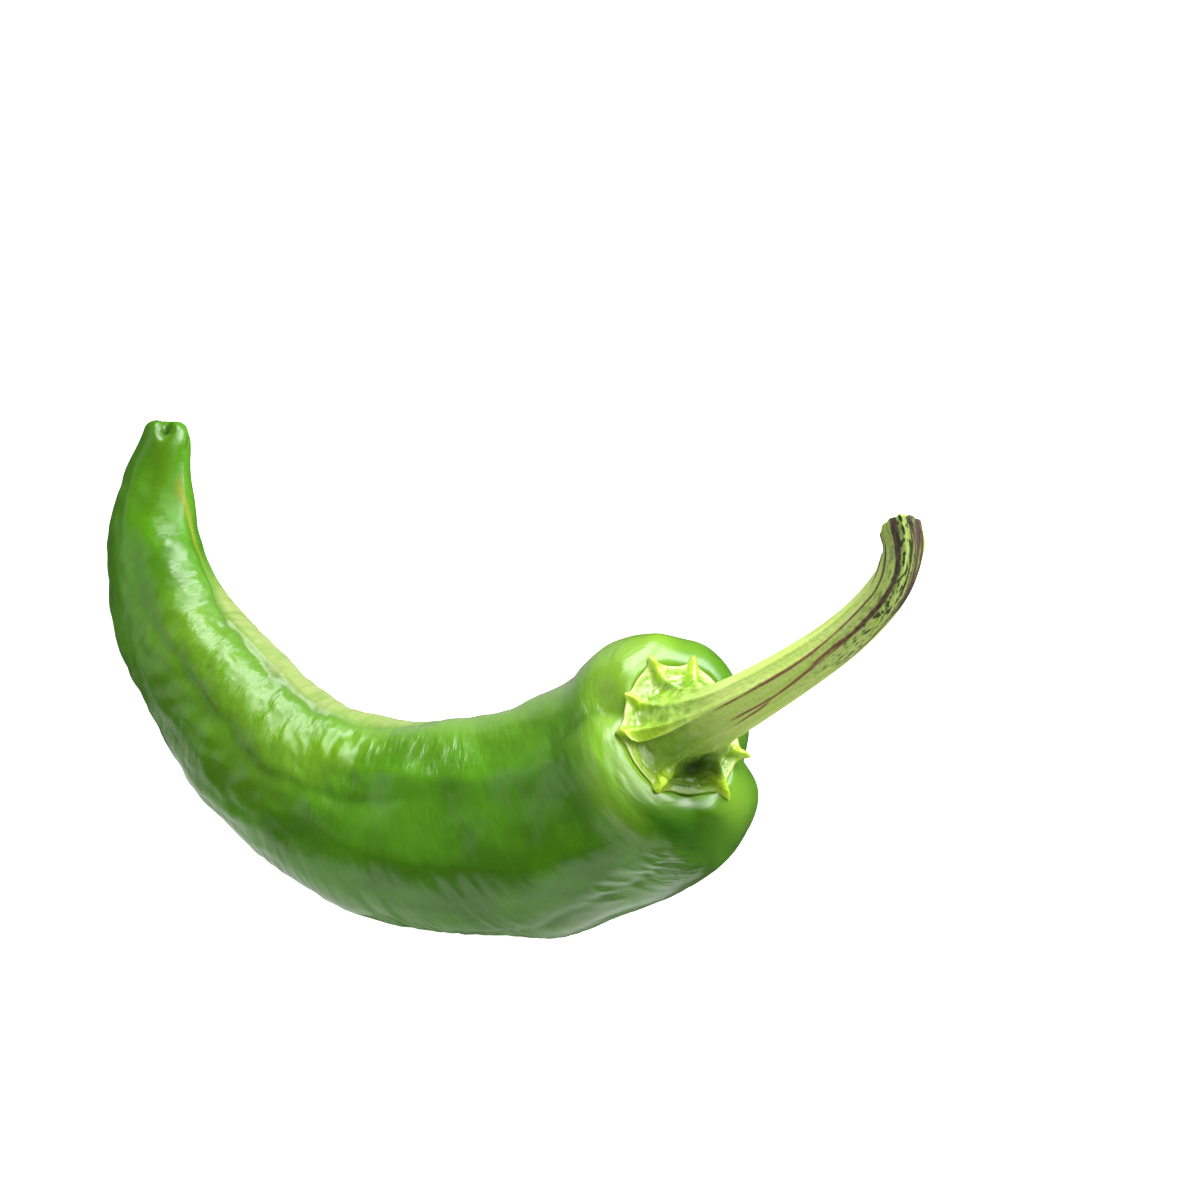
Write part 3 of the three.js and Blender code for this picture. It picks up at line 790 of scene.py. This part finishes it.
def calyx_detail(length, degrees, straight):
    """Ridges, hollows, folds and fibres of the calyx and stem, in millimetres."""
    _, _, ridge, arc = nearest_tooth(degrees)
    on_calyx = stretch(length, -12, -8, 8, 20)
    near_edge = stretch(length, -12, -9.5, -6, 2)
    long_way = turn(mix(-28, -22, smoothstep(length, -11.5, -7)), degrees)
    long_ridge = bell(long_way / 9) * stretch(length, -12, -9.5, 4, 16)
    long_arc = CALYX_RADIUS * np.radians(long_way)
    height = ridge * 0.7 * bell(arc / 0.8) * near_edge * (ridge < LONG_RIDGE)
    height += LONG_RIDGE * long_ridge * bell(long_arc / 0.9)
    for *where, depth in CALYX_HOLLOWS:
        height -= depth * spot(length, degrees, *where)
    # The calyx is uneven and folded, most of all on its lower side, but not on the long ridge.
    beside_ridge = 1 - 0.8 * long_ridge * bell(long_arc / 1.6)
    lower = 0.6 + 0.8 * bell(turn(62, degrees) / 52)
    height += 0.5 * grain(straight, 4.5, 2.2, 21) * on_calyx * lower * beside_ridge
    height += 0.2 * grain(straight, 1.5, 1.1, 22) * on_calyx * beside_ridge
    height += 0.14 * creased(straight, 3, 1.2, 25) * near_edge * beside_ridge * (1 - long_ridge)
    # The stem is fibrous, and its cords stand out towards the end as it dries.
    on_stem = stretch(length, 4, 20, STEM_END, STEM_END + 0.5)
    towards_end = smoothstep(length, 30, STEM_END)
    height += (0.02 + 0.12 * towards_end) * creased(straight, 16, 0.75, 23) * on_stem
    height += 0.12 * towards_end * np.cos(np.radians(degrees) * 11 + 1.2) * on_stem
    on_cut = smoothstep(length, STEM_END + 0.5, STEM_END + 1)
    height += 0.16 * grain(straight, 1, 0.7, 24) * on_cut
    return height


def calyx_masks(length, degrees, edge_share, straight):
    """Where the calyx's and stem's colours lie, and where it is moist."""
    radius = np.hypot(straight[..., 1], straight[..., 2])
    stripe = np.zeros_like(length)
    for route in STRIPES:
        direction, half_width, strength = through(route, length)
        arc = radius * np.radians(turn(direction, degrees))
        stripe = np.maximum(stripe, np.clip(strength, 0, 1) * bell(arc / half_width))
    arc = nearest_tooth(degrees)[3]
    rib = bell(arc / 1.2) * (1 - smoothstep(length, -7, -1))
    long_rib = 0.8 * bell(turn(-23, degrees) / 6) * (1 - smoothstep(length, 0, 12))
    # Painted shade: the calyx's lower half under the stem and its hollows are darkened, where shade falls.
    lower_side_shade = bell(turn(58, degrees) / 44) * (1 - smoothstep(length, 0, 6))
    hollows = spots([(*where, min(1.4 * depth, 1)) for *where, depth in CALYX_HOLLOWS], length, degrees)
    # The calyx's upper half, which the lights fall on.
    upper_side_tone_and_light = bell(turn(-90, degrees) / 60) * (1 - bell(turn(-24, degrees) / 5))
    return {
        "stripe": stripe * smoothstep(length, 8, 14),
        "speckle": smoothstep(length, 22, 52) * bell(turn(30, degrees) / 45),
        "cut": smoothstep(length, STEM_END + 0.4, STEM_END + 0.9),
        "rib": np.maximum(rib, long_rib),
        "hollow": np.maximum(lower_side_shade, hollows),
        # Painted shade: a mid green, milder than the hollows' shade, below the long ridge.
        "under": 0.9 * bell(turn(16, degrees) / 34) * stretch(length, -10, -5, 3, 18),
        # Painted shade: the deepest shade, under the stem at its foot.
        "pit": spot(length, degrees, 0, 5, 60, 26),
        # Partly painted highlight: whitish patches, partly the tissue's own, laid on the upper half that the
        # lights fall on.
        "pale": upper_side_tone_and_light * (1 - smoothstep(length, -6, 3)) * (1 - bell(arc / 1.7)),
        # On the lower side the pale edge gives way to the painted shade.
        "edge": edge_share * (1 - 0.8 * bell(arc / 1.5)) * (1 - 0.85 * bell(turn(62, degrees) / 42)),
        "wet": (1 - smoothstep(length, 0, 20)) * (1 - 0.85 * bell(turn(62, degrees) / 46)),
        "stem": smoothstep(length, 0, 20),
        "end": smoothstep(length, 30, 56),
    }


def linear(hex_code):
    """An sRGB hex colour as linear red, green, blue and alpha."""
    channels = [int(hex_code[i : i + 2], 16) / 255 for i in (1, 3, 5)]
    return [c / 12.92 if c <= 0.04045 else ((c + 0.055) / 1.055) ** 2.4 for c in channels] + [1.0]


def add(tree, kind, inputs, output=0, **settings):
    """Adds a shader node with its settings and gives one of its outputs. An input is a value or an output."""
    node = tree.nodes.new("ShaderNode" + kind)
    for key, value in settings.items():
        setattr(node, key, value)
    for key, value in inputs.items():
        if isinstance(value, bpy.types.NodeSocket):
            tree.links.new(value, node.inputs[key])
        else:
            node.inputs[key].default_value = value
    return node.outputs[output] if len(node.outputs) else None


def new_material(name):
    material = bpy.data.materials.new(name)
    material.use_nodes = True
    tree = material.node_tree
    tree.nodes.clear()
    return material, tree


def pepper_skin(settings):
    """Thick waxy plant skin, grown: a saturated green under a clear gloss that breaks up on fine wrinkles."""
    material, tree = new_material("waxy_pepper_skin")
    straight = add(tree, "Attribute", {}, "Vector", attribute_name="straight")
    slanting = add(tree, "Attribute", {}, "Vector", attribute_name="slanted")
    streaked = add(tree, "VectorMath", {0: slanting, 1: (1.0, 0.2, 0.2)}, operation="MULTIPLY")
    wrinkled = add(tree, "VectorMath", {0: slanting, 1: (1.0, 0.28, 0.28)}, operation="MULTIPLY")
    mask = {
        key: add(tree, "Attribute", {}, "Fac", attribute_name=key)
        for key in (
            "inner", "line", "shoulder", "bulge", "shade", "upper", "furrow", "crinkle", "taut", "wax"
        )
    }
    # Sizes in millimetres. The pigment has patches of 12, pale streaks of 1.6 on the inner face and flecks of
    # 0.7. The gloss breaks up on wrinkles 0.8 apart that run across the pod, in places of 5, and on cells of
    # 0.25.
    patches, streaks, flecks, wrinkles, places, cells = (
        add(tree, "TexNoise", {"Vector": space, "Scale": 1 / size, "Detail": detail})
        for space, size, detail in (
            (straight, 12, 3.0),
            (streaked, 1.6, 2.0),
            (streaked, 0.7, 2.0),
            (wrinkled, 0.8, 3.0),
            (straight, 5, 1.0),
            (straight, 0.25, 1.0),
        )
    )
    patches, streaks, flecks, places = (
        add(
            tree, "MapRange",
            {"Value": value, "From Min": low, "From Max": high, "To Min": least, "To Max": most},
            interpolation_type=curve,
        )
        for value, low, high, least, most, curve in (
            (patches, 0.38, 0.62, 0.0, 1.0, "SMOOTHSTEP"),
            (streaks, 0.35, 0.6, 0.6, 1.0, "LINEAR"),
            (flecks, 0.3, 0.7, 0.95, 1.05, "LINEAR"),
            (places, 0.35, 0.6, 0.3, 1.0, "SMOOTHSTEP"),
        )
    )
    places = add(tree, "Math", {0: places, 1: mask["crinkle"]}, operation="MULTIPLY")
    inner, furrow, wrinkles, wax = (
        add(tree, "Math", {0: one, 1: other}, operation="MULTIPLY")
        for one, other in (
            (mask["inner"], streaks),
            (mask["furrow"], 0.35),
            (wrinkles, places),
            (mask["wax"], settings.gloss),
        )
    )
    colour = settings.body_dark
    for share, other in (
        (patches, settings.body_light),
        # Partly painted light: the side turned to the softboxes is painted a lighter green, partly the skin's
        # own tone.
        (mask["upper"], settings.upper_side_tone_and_light),
        # Partly painted light: the pale inner face, partly its own colour, partly the softboxes' light.
        (inner, settings.inner_face),
        (mask["line"], settings.yellow_line),
        # Partly painted light: the shoulder's own light green, made lighter still on the bulge by a
        # painted-light spot.
        (mask["shoulder"], settings.shoulder),
        # Painted light: the bulge before the calyx is painted lighter where it faces the lights.
        (mask["bulge"], settings.bulge),
        # Painted shade: the spot below the calyx takes the dark furrow green.
        (mask["shade"], settings.furrow),
        # Painted shade: the furrows' bottoms are darkened with the dark furrow green.
        (furrow, settings.furrow),
    ):
        colour = add(tree, "Mix", {"Factor": share, 6: colour, 7: other}, 2, data_type="RGBA")
    colour = add(tree, "HueSaturation", {"Color": colour, "Value": flecks})
    bump = add(tree, "Bump", {"Height": wrinkles, "Distance": settings.wrinkle_bump})
    bump = add(tree, "Bump", {"Height": cells, "Distance": settings.cell_bump, "Normal": bump})
    # The skin is taut and smoother round the calyx.
    wax_roughness = add(tree, "MapRange", {"Value": mask["taut"], "To Min": 0.27, "To Max": 0.17})
    shader = add(
        tree, "BsdfPrincipled",
        {
            "Base Color": colour,
            "Roughness": settings.roughness,
            "IOR": 1.45,
            "Specular IOR Level": 0.15,
            "Subsurface Weight": settings.subsurface,
            "Subsurface Radius": (0.7, 1.0, 0.25),
            "Subsurface Scale": 1.0 * MM,
            "Coat Weight": wax,
            "Coat Roughness": wax_roughness,
            "Coat IOR": 1.5,
            "Normal": bump,
            "Coat Normal": bump,
        },
    )
    add(tree, "OutputMaterial", {"Surface": shader})
    return material


def calyx_tissue(settings):
    """Fresh green plant tissue, grown: moist and glossy on the calyx, satin and fibrous up the stem."""
    material, tree = new_material("calyx_and_stem_tissue")
    solid = add(tree, "TexCoord", {}, "Object")
    straight = add(tree, "Attribute", {}, "Vector", attribute_name="straight")
    fibrous = add(tree, "VectorMath", {0: straight, 1: (0.06, 1.0, 1.0)}, operation="MULTIPLY")
    speckled = add(tree, "VectorMath", {0: straight, 1: (0.35, 1.0, 1.0)}, operation="MULTIPLY")
    mask = {
        key: add(tree, "Attribute", {}, "Fac", attribute_name=key)
        for key in (
            "stripe", "speckle", "cut", "rib", "hollow", "under", "pit", "pale", "edge", "wet", "stem", "end"
        )
    }
    # Sizes in millimetres. The calyx has mottling of 3, pale patches of 1.4, partly painted highlight, and
    # crinkles of 0.9. The stem has fibres 0.5 apart along it and, near its end, specks of about 0.5 by 1.5.
    mottle, pale, crinkles, fibres, specks = (
        add(tree, "TexNoise", {"Vector": space, "Scale": 1 / size, "Detail": detail})
        for space, size, detail in (
            (straight, 3, 3.0),
            (solid, 1.4 * MM, 3.0),
            (solid, 0.9 * MM, 2.0),
            (fibrous, 0.5, 3.0),
            (speckled, 0.55, 2.0),
        )
    )
    # The stripes are broken up along the fibres.
    stripe = add(tree, "Math", {0: fibres, 1: 1.5, 2: mask["stripe"]}, operation="MULTIPLY_ADD")
    mottle, pale, pale_fibres, specks, stripe = (
        add(
            tree, "MapRange", {"Value": value, "From Min": low, "From Max": high, "To Max": most},
            interpolation_type="SMOOTHSTEP",
        )
        for value, low, high, most in (
            (mottle, 0.4, 0.6, 1.0),
            (pale, 0.47, 0.62, 0.6),
            (fibres, 0.35, 0.62, 1.0),
            (specks, 0.49, 0.6, 1.0),
            (stripe, 1.15, 1.5, 0.92),
        )
    )
    contrast, wetness, roughness = (
        add(tree, "MapRange", {"Value": mask[key], "To Min": least, "To Max": most})
        for key, least, most in (
            ("end", 0.3, 1.0),
            ("wet", 0.1, 1.0),
            ("stem", settings.calyx_roughness, settings.stem_roughness),
        )
    )
    pale_fibres, towards_end, pale, skin_specks, specular = (
        add(tree, "Math", {0: one, 1: other}, operation="MULTIPLY")
        for one, other in (
            (pale_fibres, contrast),
            (mask["end"], 0.7),
            (pale, mask["pale"]),
            (specks, mask["speckle"]),
            (wetness, 0.55),
        )
    )
    # Four colours, built up by layers: the colour that a layer lies on, its share and its own colour. The
    # calyx's ends as the colour of the whole piece.
    colour = {
        "calyx": settings.calyx_dark,
        "stem": settings.stem_dark,
        "stripe": settings.stripe_foot,
        "cut": settings.cut_light,
    }
    for base, share, other in (
        ("calyx", mottle, settings.calyx_light),
        ("stem", pale_fibres, settings.stem_light),
        ("stem", towards_end, settings.stem_end),
        ("stripe", mask["end"], settings.stripe),
        ("cut", specks, settings.cut_dark),
        ("calyx", mask["stem"], "stem"),
        # Painted shade on the calyx's lower half and in its hollows.
        ("calyx", mask["hollow"], settings.hollow),
        # Painted shade, milder, below the long ridge.
        ("calyx", mask["under"], settings.shade_under_ridge),
        # Painted shade under the stem's foot.
        ("calyx", mask["pit"], settings.pit),
        ("calyx", mask["rib"], settings.rib),
        ("calyx", mask["edge"], settings.membrane),
        # Partly painted highlight: the whitish patches on the upper half that the lights fall on.
        ("calyx", pale, settings.pale),
        ("calyx", stripe, "stripe"),
        ("calyx", skin_specks, settings.speck),
        ("calyx", mask["cut"], "cut"),
    ):
        other = colour[other] if isinstance(other, str) else other
        colour[base] = add(tree, "Mix", {"Factor": share, 6: colour[base], 7: other}, 2, data_type="RGBA")
    bump = add(tree, "Bump", {"Height": crinkles, "Distance": settings.crinkle_bump})
    bump = add(tree, "Bump", {"Height": fibres, "Distance": settings.fibre_bump, "Normal": bump})
    shader = add(
        tree, "BsdfPrincipled",
        {
            "Base Color": colour["calyx"],
            "Roughness": roughness,
            "IOR": 1.42,
            "Specular IOR Level": specular,
            "Subsurface Weight": 0.25,
            "Subsurface Radius": (1.0, 1.3, 0.4),
            "Subsurface Scale": 1.2 * MM,
            "Coat Weight": wetness,
            "Coat Roughness": 0.16,
            "Normal": bump,
        },
    )
    add(tree, "OutputMaterial", {"Surface": shader})
    return material


def studio_floor(settings):
    """Opaque white acrylic sheet, satin and lit from behind, so that it reads as plain white."""
    material, tree = new_material("white_acrylic_table")
    shader = add(
        tree, "BsdfPrincipled",
        {
            "Base Color": settings.floor_colour,
            "Roughness": 0.6,
            "Emission Color": (1.0, 1.0, 1.0, 1.0),
            "Emission Strength": settings.floor_glow,
        },
    )
    add(tree, "OutputMaterial", {"Surface": shader})
    return material


def white_card(left_glow, right_glow):
    """Matt white card, lit more strongly at one side, which only shows as a sheen in the gloss."""
    material, tree = new_material("matt_white_card")
    place = add(tree, "TexCoord", {}, "Object")
    x = add(tree, "SeparateXYZ", {"Vector": place}, "X")
    glow = add(
        tree, "MapRange", {"Value": x, "From Max": CARD_FADE, "To Min": left_glow, "To Max": right_glow},
        interpolation_type="SMOOTHSTEP",
    )
    shader = add(tree, "Emission", {"Color": (1.0, 1.0, 1.0, 1.0), "Strength": glow})
    add(tree, "OutputMaterial", {"Surface": shader})
    return material


def colour_property(name, description, hex_code):
    """A colour, given as an sRGB hex value."""
    return bpy.props.FloatVectorProperty(
        name=name, description=description, default=linear(hex_code), min=0, max=1, size=4, subtype="COLOR"
    )


def length_property(name, description, length, least=0):
    """A length, given in millimetres."""
    return bpy.props.FloatProperty(
        name=name, description=description, default=length * MM, min=least * MM, unit="LENGTH", precision=5
    )


def share_property(name, description, default):
    return bpy.props.FloatProperty(
        name=name, description=description, default=default, min=0, max=1, subtype="FACTOR"
    )


def power_property(name, description, watts):
    return bpy.props.FloatProperty(name=name, description=description, default=watts, min=0, subtype="POWER")


def glow_property(name, description, default):
    return bpy.props.FloatProperty(name=name, description=description, default=default, min=0)


class PepperPodSettings(bpy.types.PropertyGroup):
    rings: bpy.props.IntProperty(
        name="Rings", description="Rings of the pod's mesh between tip and shoulder", default=372, min=60
    )
    columns: bpy.props.IntProperty(
        name="Columns", description="Columns of the pod's mesh round the pod", default=236, min=40
    )
    dent_depth: length_property("Dents", "Depth of the broad dents in the skin", 0.26)
    wrinkle_depth: length_property("Wrinkles", "Depth of the wrinkles that run across the pod", 0.2)
    wrinkle_bump: length_property("Fine wrinkles", "Depth of the fine wrinkles that break up the gloss", 0.35)
    cell_bump: length_property("Cells", "Depth of the skin's finest grain", 0.0125)
    body_dark: colour_property("Body, dark", "Darker green of the pod", "#437806")
    body_light: colour_property("Body, light", "Lighter green of the pod", "#4e8a0a")
    # Partly painted light: a lighter green for the side turned to the softboxes, partly the skin's own tone.
    upper_side_tone_and_light: colour_property("Upper side", "Lighter green towards the inner side of the bend", "#67971a")
    # Partly painted light: the inner face's own paler green with the softboxes' light painted in.
    inner_face: colour_property("Inner face", "Pale green on the inner side of the bend", "#8e9f5a")
    yellow_line: colour_property("Yellow line", "Yellow line beside the inner furrow", "#88981e")
    shoulder: colour_property("Shoulder", "Light green round the calyx", "#79a628")
    # Painted light: this lightest green stands for the light on the bulge that faces the lamps.
    bulge: colour_property("Bulge", "Lightest green, on the bulge before the calyx", "#82b634")
    # Painted shade: this dark green paints the shade in the furrows' bottoms and below the calyx.
    furrow: colour_property("Furrow", "Dark green at the bottom of the furrows", "#2a5a09")
    roughness: share_property("Roughness", "Roughness of the skin under its wax", 0.3)
    gloss: share_property("Wax", "Strength of the wax coat", 1.0)
    subsurface: share_property("Subsurface", "How much light spreads inside the flesh", 0.2)


class PepperCalyxSettings(bpy.types.PropertyGroup):
    columns_per_tooth: bpy.props.IntProperty(
        name="Columns a tooth", description="Columns of the mesh from tooth to tooth", default=30, min=8
    )
    flare_rings: bpy.props.IntProperty(
        name="Flare rings", description="Rings from the calyx's edge to the stem", default=56, min=8
    )
    stem_step: length_property("Stem step", "Distance between rings up the stem", 0.5, 0.1)
    crinkle_bump: length_property("Crinkles", "Depth of the crinkles that break up the calyx's gloss", 0.22)
    fibre_bump: length_property("Fibres", "Depth of the finest fibres of the stem", 0.12)
    calyx_dark: colour_property("Calyx, dark", "Darker green of the calyx", "#86b02c")
    calyx_light: colour_property("Calyx, light", "Lighter green of the calyx", "#a6d04e")
    rib: colour_property("Rib", "Yellow-green of the teeth and ribs", "#b8dc30")
    # Painted shade: this dark green stands for the shade in the calyx's hollows and on its lower half.
    hollow: colour_property("Hollow", "Dark green of the calyx's hollows", "#4a6c10")
    # Painted shade: a mid green below the long ridge, milder than the hollows' shade.
    shade_under_ridge: colour_property("Under the ridge", "Mid green below the long ridge", "#82aa34")
    # Painted shade: black-green for the deep shade under the stem at its foot.
    pit: colour_property("Pit", "Black-green of the deepest hollow at the stem's foot", "#1f3a0c")
    # Partly painted highlight: whitish patches, partly the tissue's own, on the upper half that the lights
    # fall on.
    pale: colour_property("Pale patches", "Whitish patches of the crinkled calyx", "#e2eea8")
    membrane: colour_property("Membrane", "Pale edge of the calyx between its teeth", "#a4bf4e")
    stem_dark: colour_property("Stem, dark", "Darker fibres of the stem", "#b4cf62")
    stem_light: colour_property("Stem, light", "Lighter fibres of the stem", "#cfdf9c")
    stem_end: colour_property("Stem, end", "Olive green near the cut end", "#8a9e4c")
    stripe_foot: colour_property("Stripe, foot", "Red-brown of the stripes near the calyx", "#8a5448")
    stripe: colour_property("Stripe", "Purple-brown of the stem's stripes", "#4c2a3c")
    speck: colour_property("Specks", "Black-green specks near the cut end", "#2c3a24")
    cut_light: colour_property("Cut end, light", "Pale pith of the cut end", "#d9c9a0")
    cut_dark: colour_property("Cut end, dark", "Dried rim and fibres of the cut end", "#a8776b")
    calyx_roughness: share_property("Calyx roughness", "Roughness of the moist calyx", 0.28)
    stem_roughness: share_property("Stem roughness", "Roughness of the stem", 0.5)


class PepperStageSettings(bpy.types.PropertyGroup):
    floor_size: bpy.props.FloatProperty(
        name="Floor size", description="Width of the white table", default=4.0, min=1, unit="LENGTH"
    )
    floor_colour: colour_property("Floor colour", "Colour of the table", "#f4f4f2")
    floor_glow: glow_property("Floor glow", "How strongly the table is lit from behind", 0.95)
    card_glow: glow_property("Card glow", "Brightness of the white card before the belly", 1.1)
    side_card_glow: glow_property("Side card glow", "Brightness of the white card on the left", 0.7)
    back_card_glow: glow_property("Back card glow", "Brightness of the white card inside the bend", 0.4)
    softbox_power: power_property("Softbox", "Power of the large softbox beside the bend", 4.2)
    upper_power: power_property("Upper softbox", "Power of the weak softbox above the large one", 2.2)
    strip_power: power_property("Strip lights", "Power of each low strip light before the softbox", 2.7)
    top_power: power_property("Top softbox", "Power of the polarised softbox overhead", 7.0)
    side_power: power_property("Side softbox", "Power of the weaker softbox on the left", 1.1)
    fill_power: power_property("Fill", "Power of the weak light from below the picture", 1.7)
    room_glow: glow_property("Room", "Brightness of the white room", 0.04)


def show(piece, node, material):
    """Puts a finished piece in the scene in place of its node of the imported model."""
    bpy.context.collection.objects.link(piece)
    piece.data.materials.append(material)
    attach(piece, "root")
    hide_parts(node)


class PEPPER_OT_pod(bpy.types.Operator):
    """Build the curved pod with its furrows, dents and wrinkles."""

    bl_idname = "pepper.build_pod"
    bl_label = "Build pod"

    def execute(self, context):
        settings = context.scene.pepper_pod
        show(build_pod(settings), "pod", pepper_skin(settings))
        return {"FINISHED"}


class PEPPER_OT_calyx_stem(bpy.types.Operator):
    """Build the toothed calyx and the striped stem as one piece."""

    bl_idname = "pepper.build_calyx_stem"
    bl_label = "Build calyx and stem"

    def execute(self, context):
        settings = context.scene.pepper_calyx
        show(build_calyx_stem(settings), "calyx_stem", calyx_tissue(settings))
        return {"FINISHED"}


def add_softbox(name, place, width, height, power):
    light = bpy.data.lights.new(name, "AREA")
    light.shape = "RECTANGLE"
    light.size = width
    light.size_y = height
    light.energy = power
    lamp = bpy.data.objects.new(name, light)
    lamp.location = place
    lamp.rotation_euler = (Vector(LIGHTS_AIM) - Vector(place)).to_track_quat("-Z", "Y").to_euler()
    bpy.context.collection.objects.link(lamp)
    return lamp


def add_sheet(name, low, high, height, material):
    corners = [(low[0], low[1]), (high[0], low[1]), (high[0], high[1]), (low[0], high[1])]
    mesh = bpy.data.meshes.new(name)
    mesh.from_pydata([(x, y, height * MM) for x, y in corners], [], [(0, 1, 2, 3)])
    mesh.materials.append(material)
    sheet = bpy.data.objects.new(name, mesh)
    bpy.context.collection.objects.link(sheet)
    return sheet


class PEPPER_OT_stage(bpy.types.Operator):
    """Set up the white table, the soft lights and the camera."""

    bl_idname = "pepper.build_stage"
    bl_label = "Build stage"

    def execute(self, context):
        scene = context.scene
        settings = scene.pepper_stage
        half = settings.floor_size / 2
        table = add_sheet("table", (-half, -half), (half, half), TABLE_HEIGHT, studio_floor(settings))
        table.visible_glossy = False
        # In the gloss the table shows only where the white cards lie on it.
        for name, (setting, low, high, left, right) in CARDS.items():
            glow = getattr(settings, setting)
            card = add_sheet(name, low, high, CARD_HEIGHT, white_card(left * glow, right * glow))
            card.visible_camera = card.visible_diffuse = card.visible_shadow = False

        for name, (setting, place, width, height) in LIGHTS.items():
            lamp = add_softbox(name, place, width, height, getattr(settings, setting))
            # The top softbox is polarised, so it leaves no gloss.
            lamp.visible_glossy = name != "top_softbox"

        world = bpy.data.worlds.new("white_room")
        world.use_nodes = True
        background = world.node_tree.nodes["Background"]
        background.inputs["Color"].default_value = (1, 1, 1, 1)
        background.inputs["Strength"].default_value = settings.room_glow
        scene.world = world
        scene.view_settings.view_transform = "Standard"

        camera = bpy.data.cameras.new("camera")
        camera.lens = CAMERA_LENS
        camera.sensor_width = CAMERA_SENSOR
        camera.clip_start = CAMERA_CLIP
        eye = bpy.data.objects.new("camera", camera)
        eye.location = Vector(CAMERA_PLACE) * MM
        context.collection.objects.link(eye)
        scene.camera = eye
        return {"FINISHED"}


class PEPPER_PT_panel(bpy.types.Panel):
    """The pepper's settings and the buttons that build it."""

    bl_idname = "PEPPER_PT_panel"
    bl_label = "Bull Horn Pepper"
    bl_space_type = "VIEW_3D"
    bl_region_type = "UI"
    bl_category = "Pepper"

    def draw(self, context):
        for operator, group in (
            ("pepper.build_stage", context.scene.pepper_stage),
            ("pepper.build_pod", context.scene.pepper_pod),
            ("pepper.build_calyx_stem", context.scene.pepper_calyx),
        ):
            column = self.layout.column()
            column.operator(operator)
            for key in group.__annotations__:
                column.prop(group, key)


GROUPS = {
    "pepper_pod": PepperPodSettings,
    "pepper_calyx": PepperCalyxSettings,
    "pepper_stage": PepperStageSettings,
}
CLASSES = (
    *GROUPS.values(),
    PEPPER_OT_pod,
    PEPPER_OT_calyx_stem,
    PEPPER_OT_stage,
    PEPPER_PT_panel,
)


def register():
    for cls in CLASSES:
        bpy.utils.register_class(cls)
    for key, group in GROUPS.items():
        setattr(bpy.types.Scene, key, bpy.props.PointerProperty(type=group))


def unregister():
    for key in GROUPS:
        delattr(bpy.types.Scene, key)
    for cls in reversed(CLASSES):
        bpy.utils.unregister_class(cls)


def main():
    register()
    bpy.ops.pepper.build_stage()
    bpy.ops.pepper.build_pod()
    bpy.ops.pepper.build_calyx_stem()


if __name__ == "__main__":
    main()
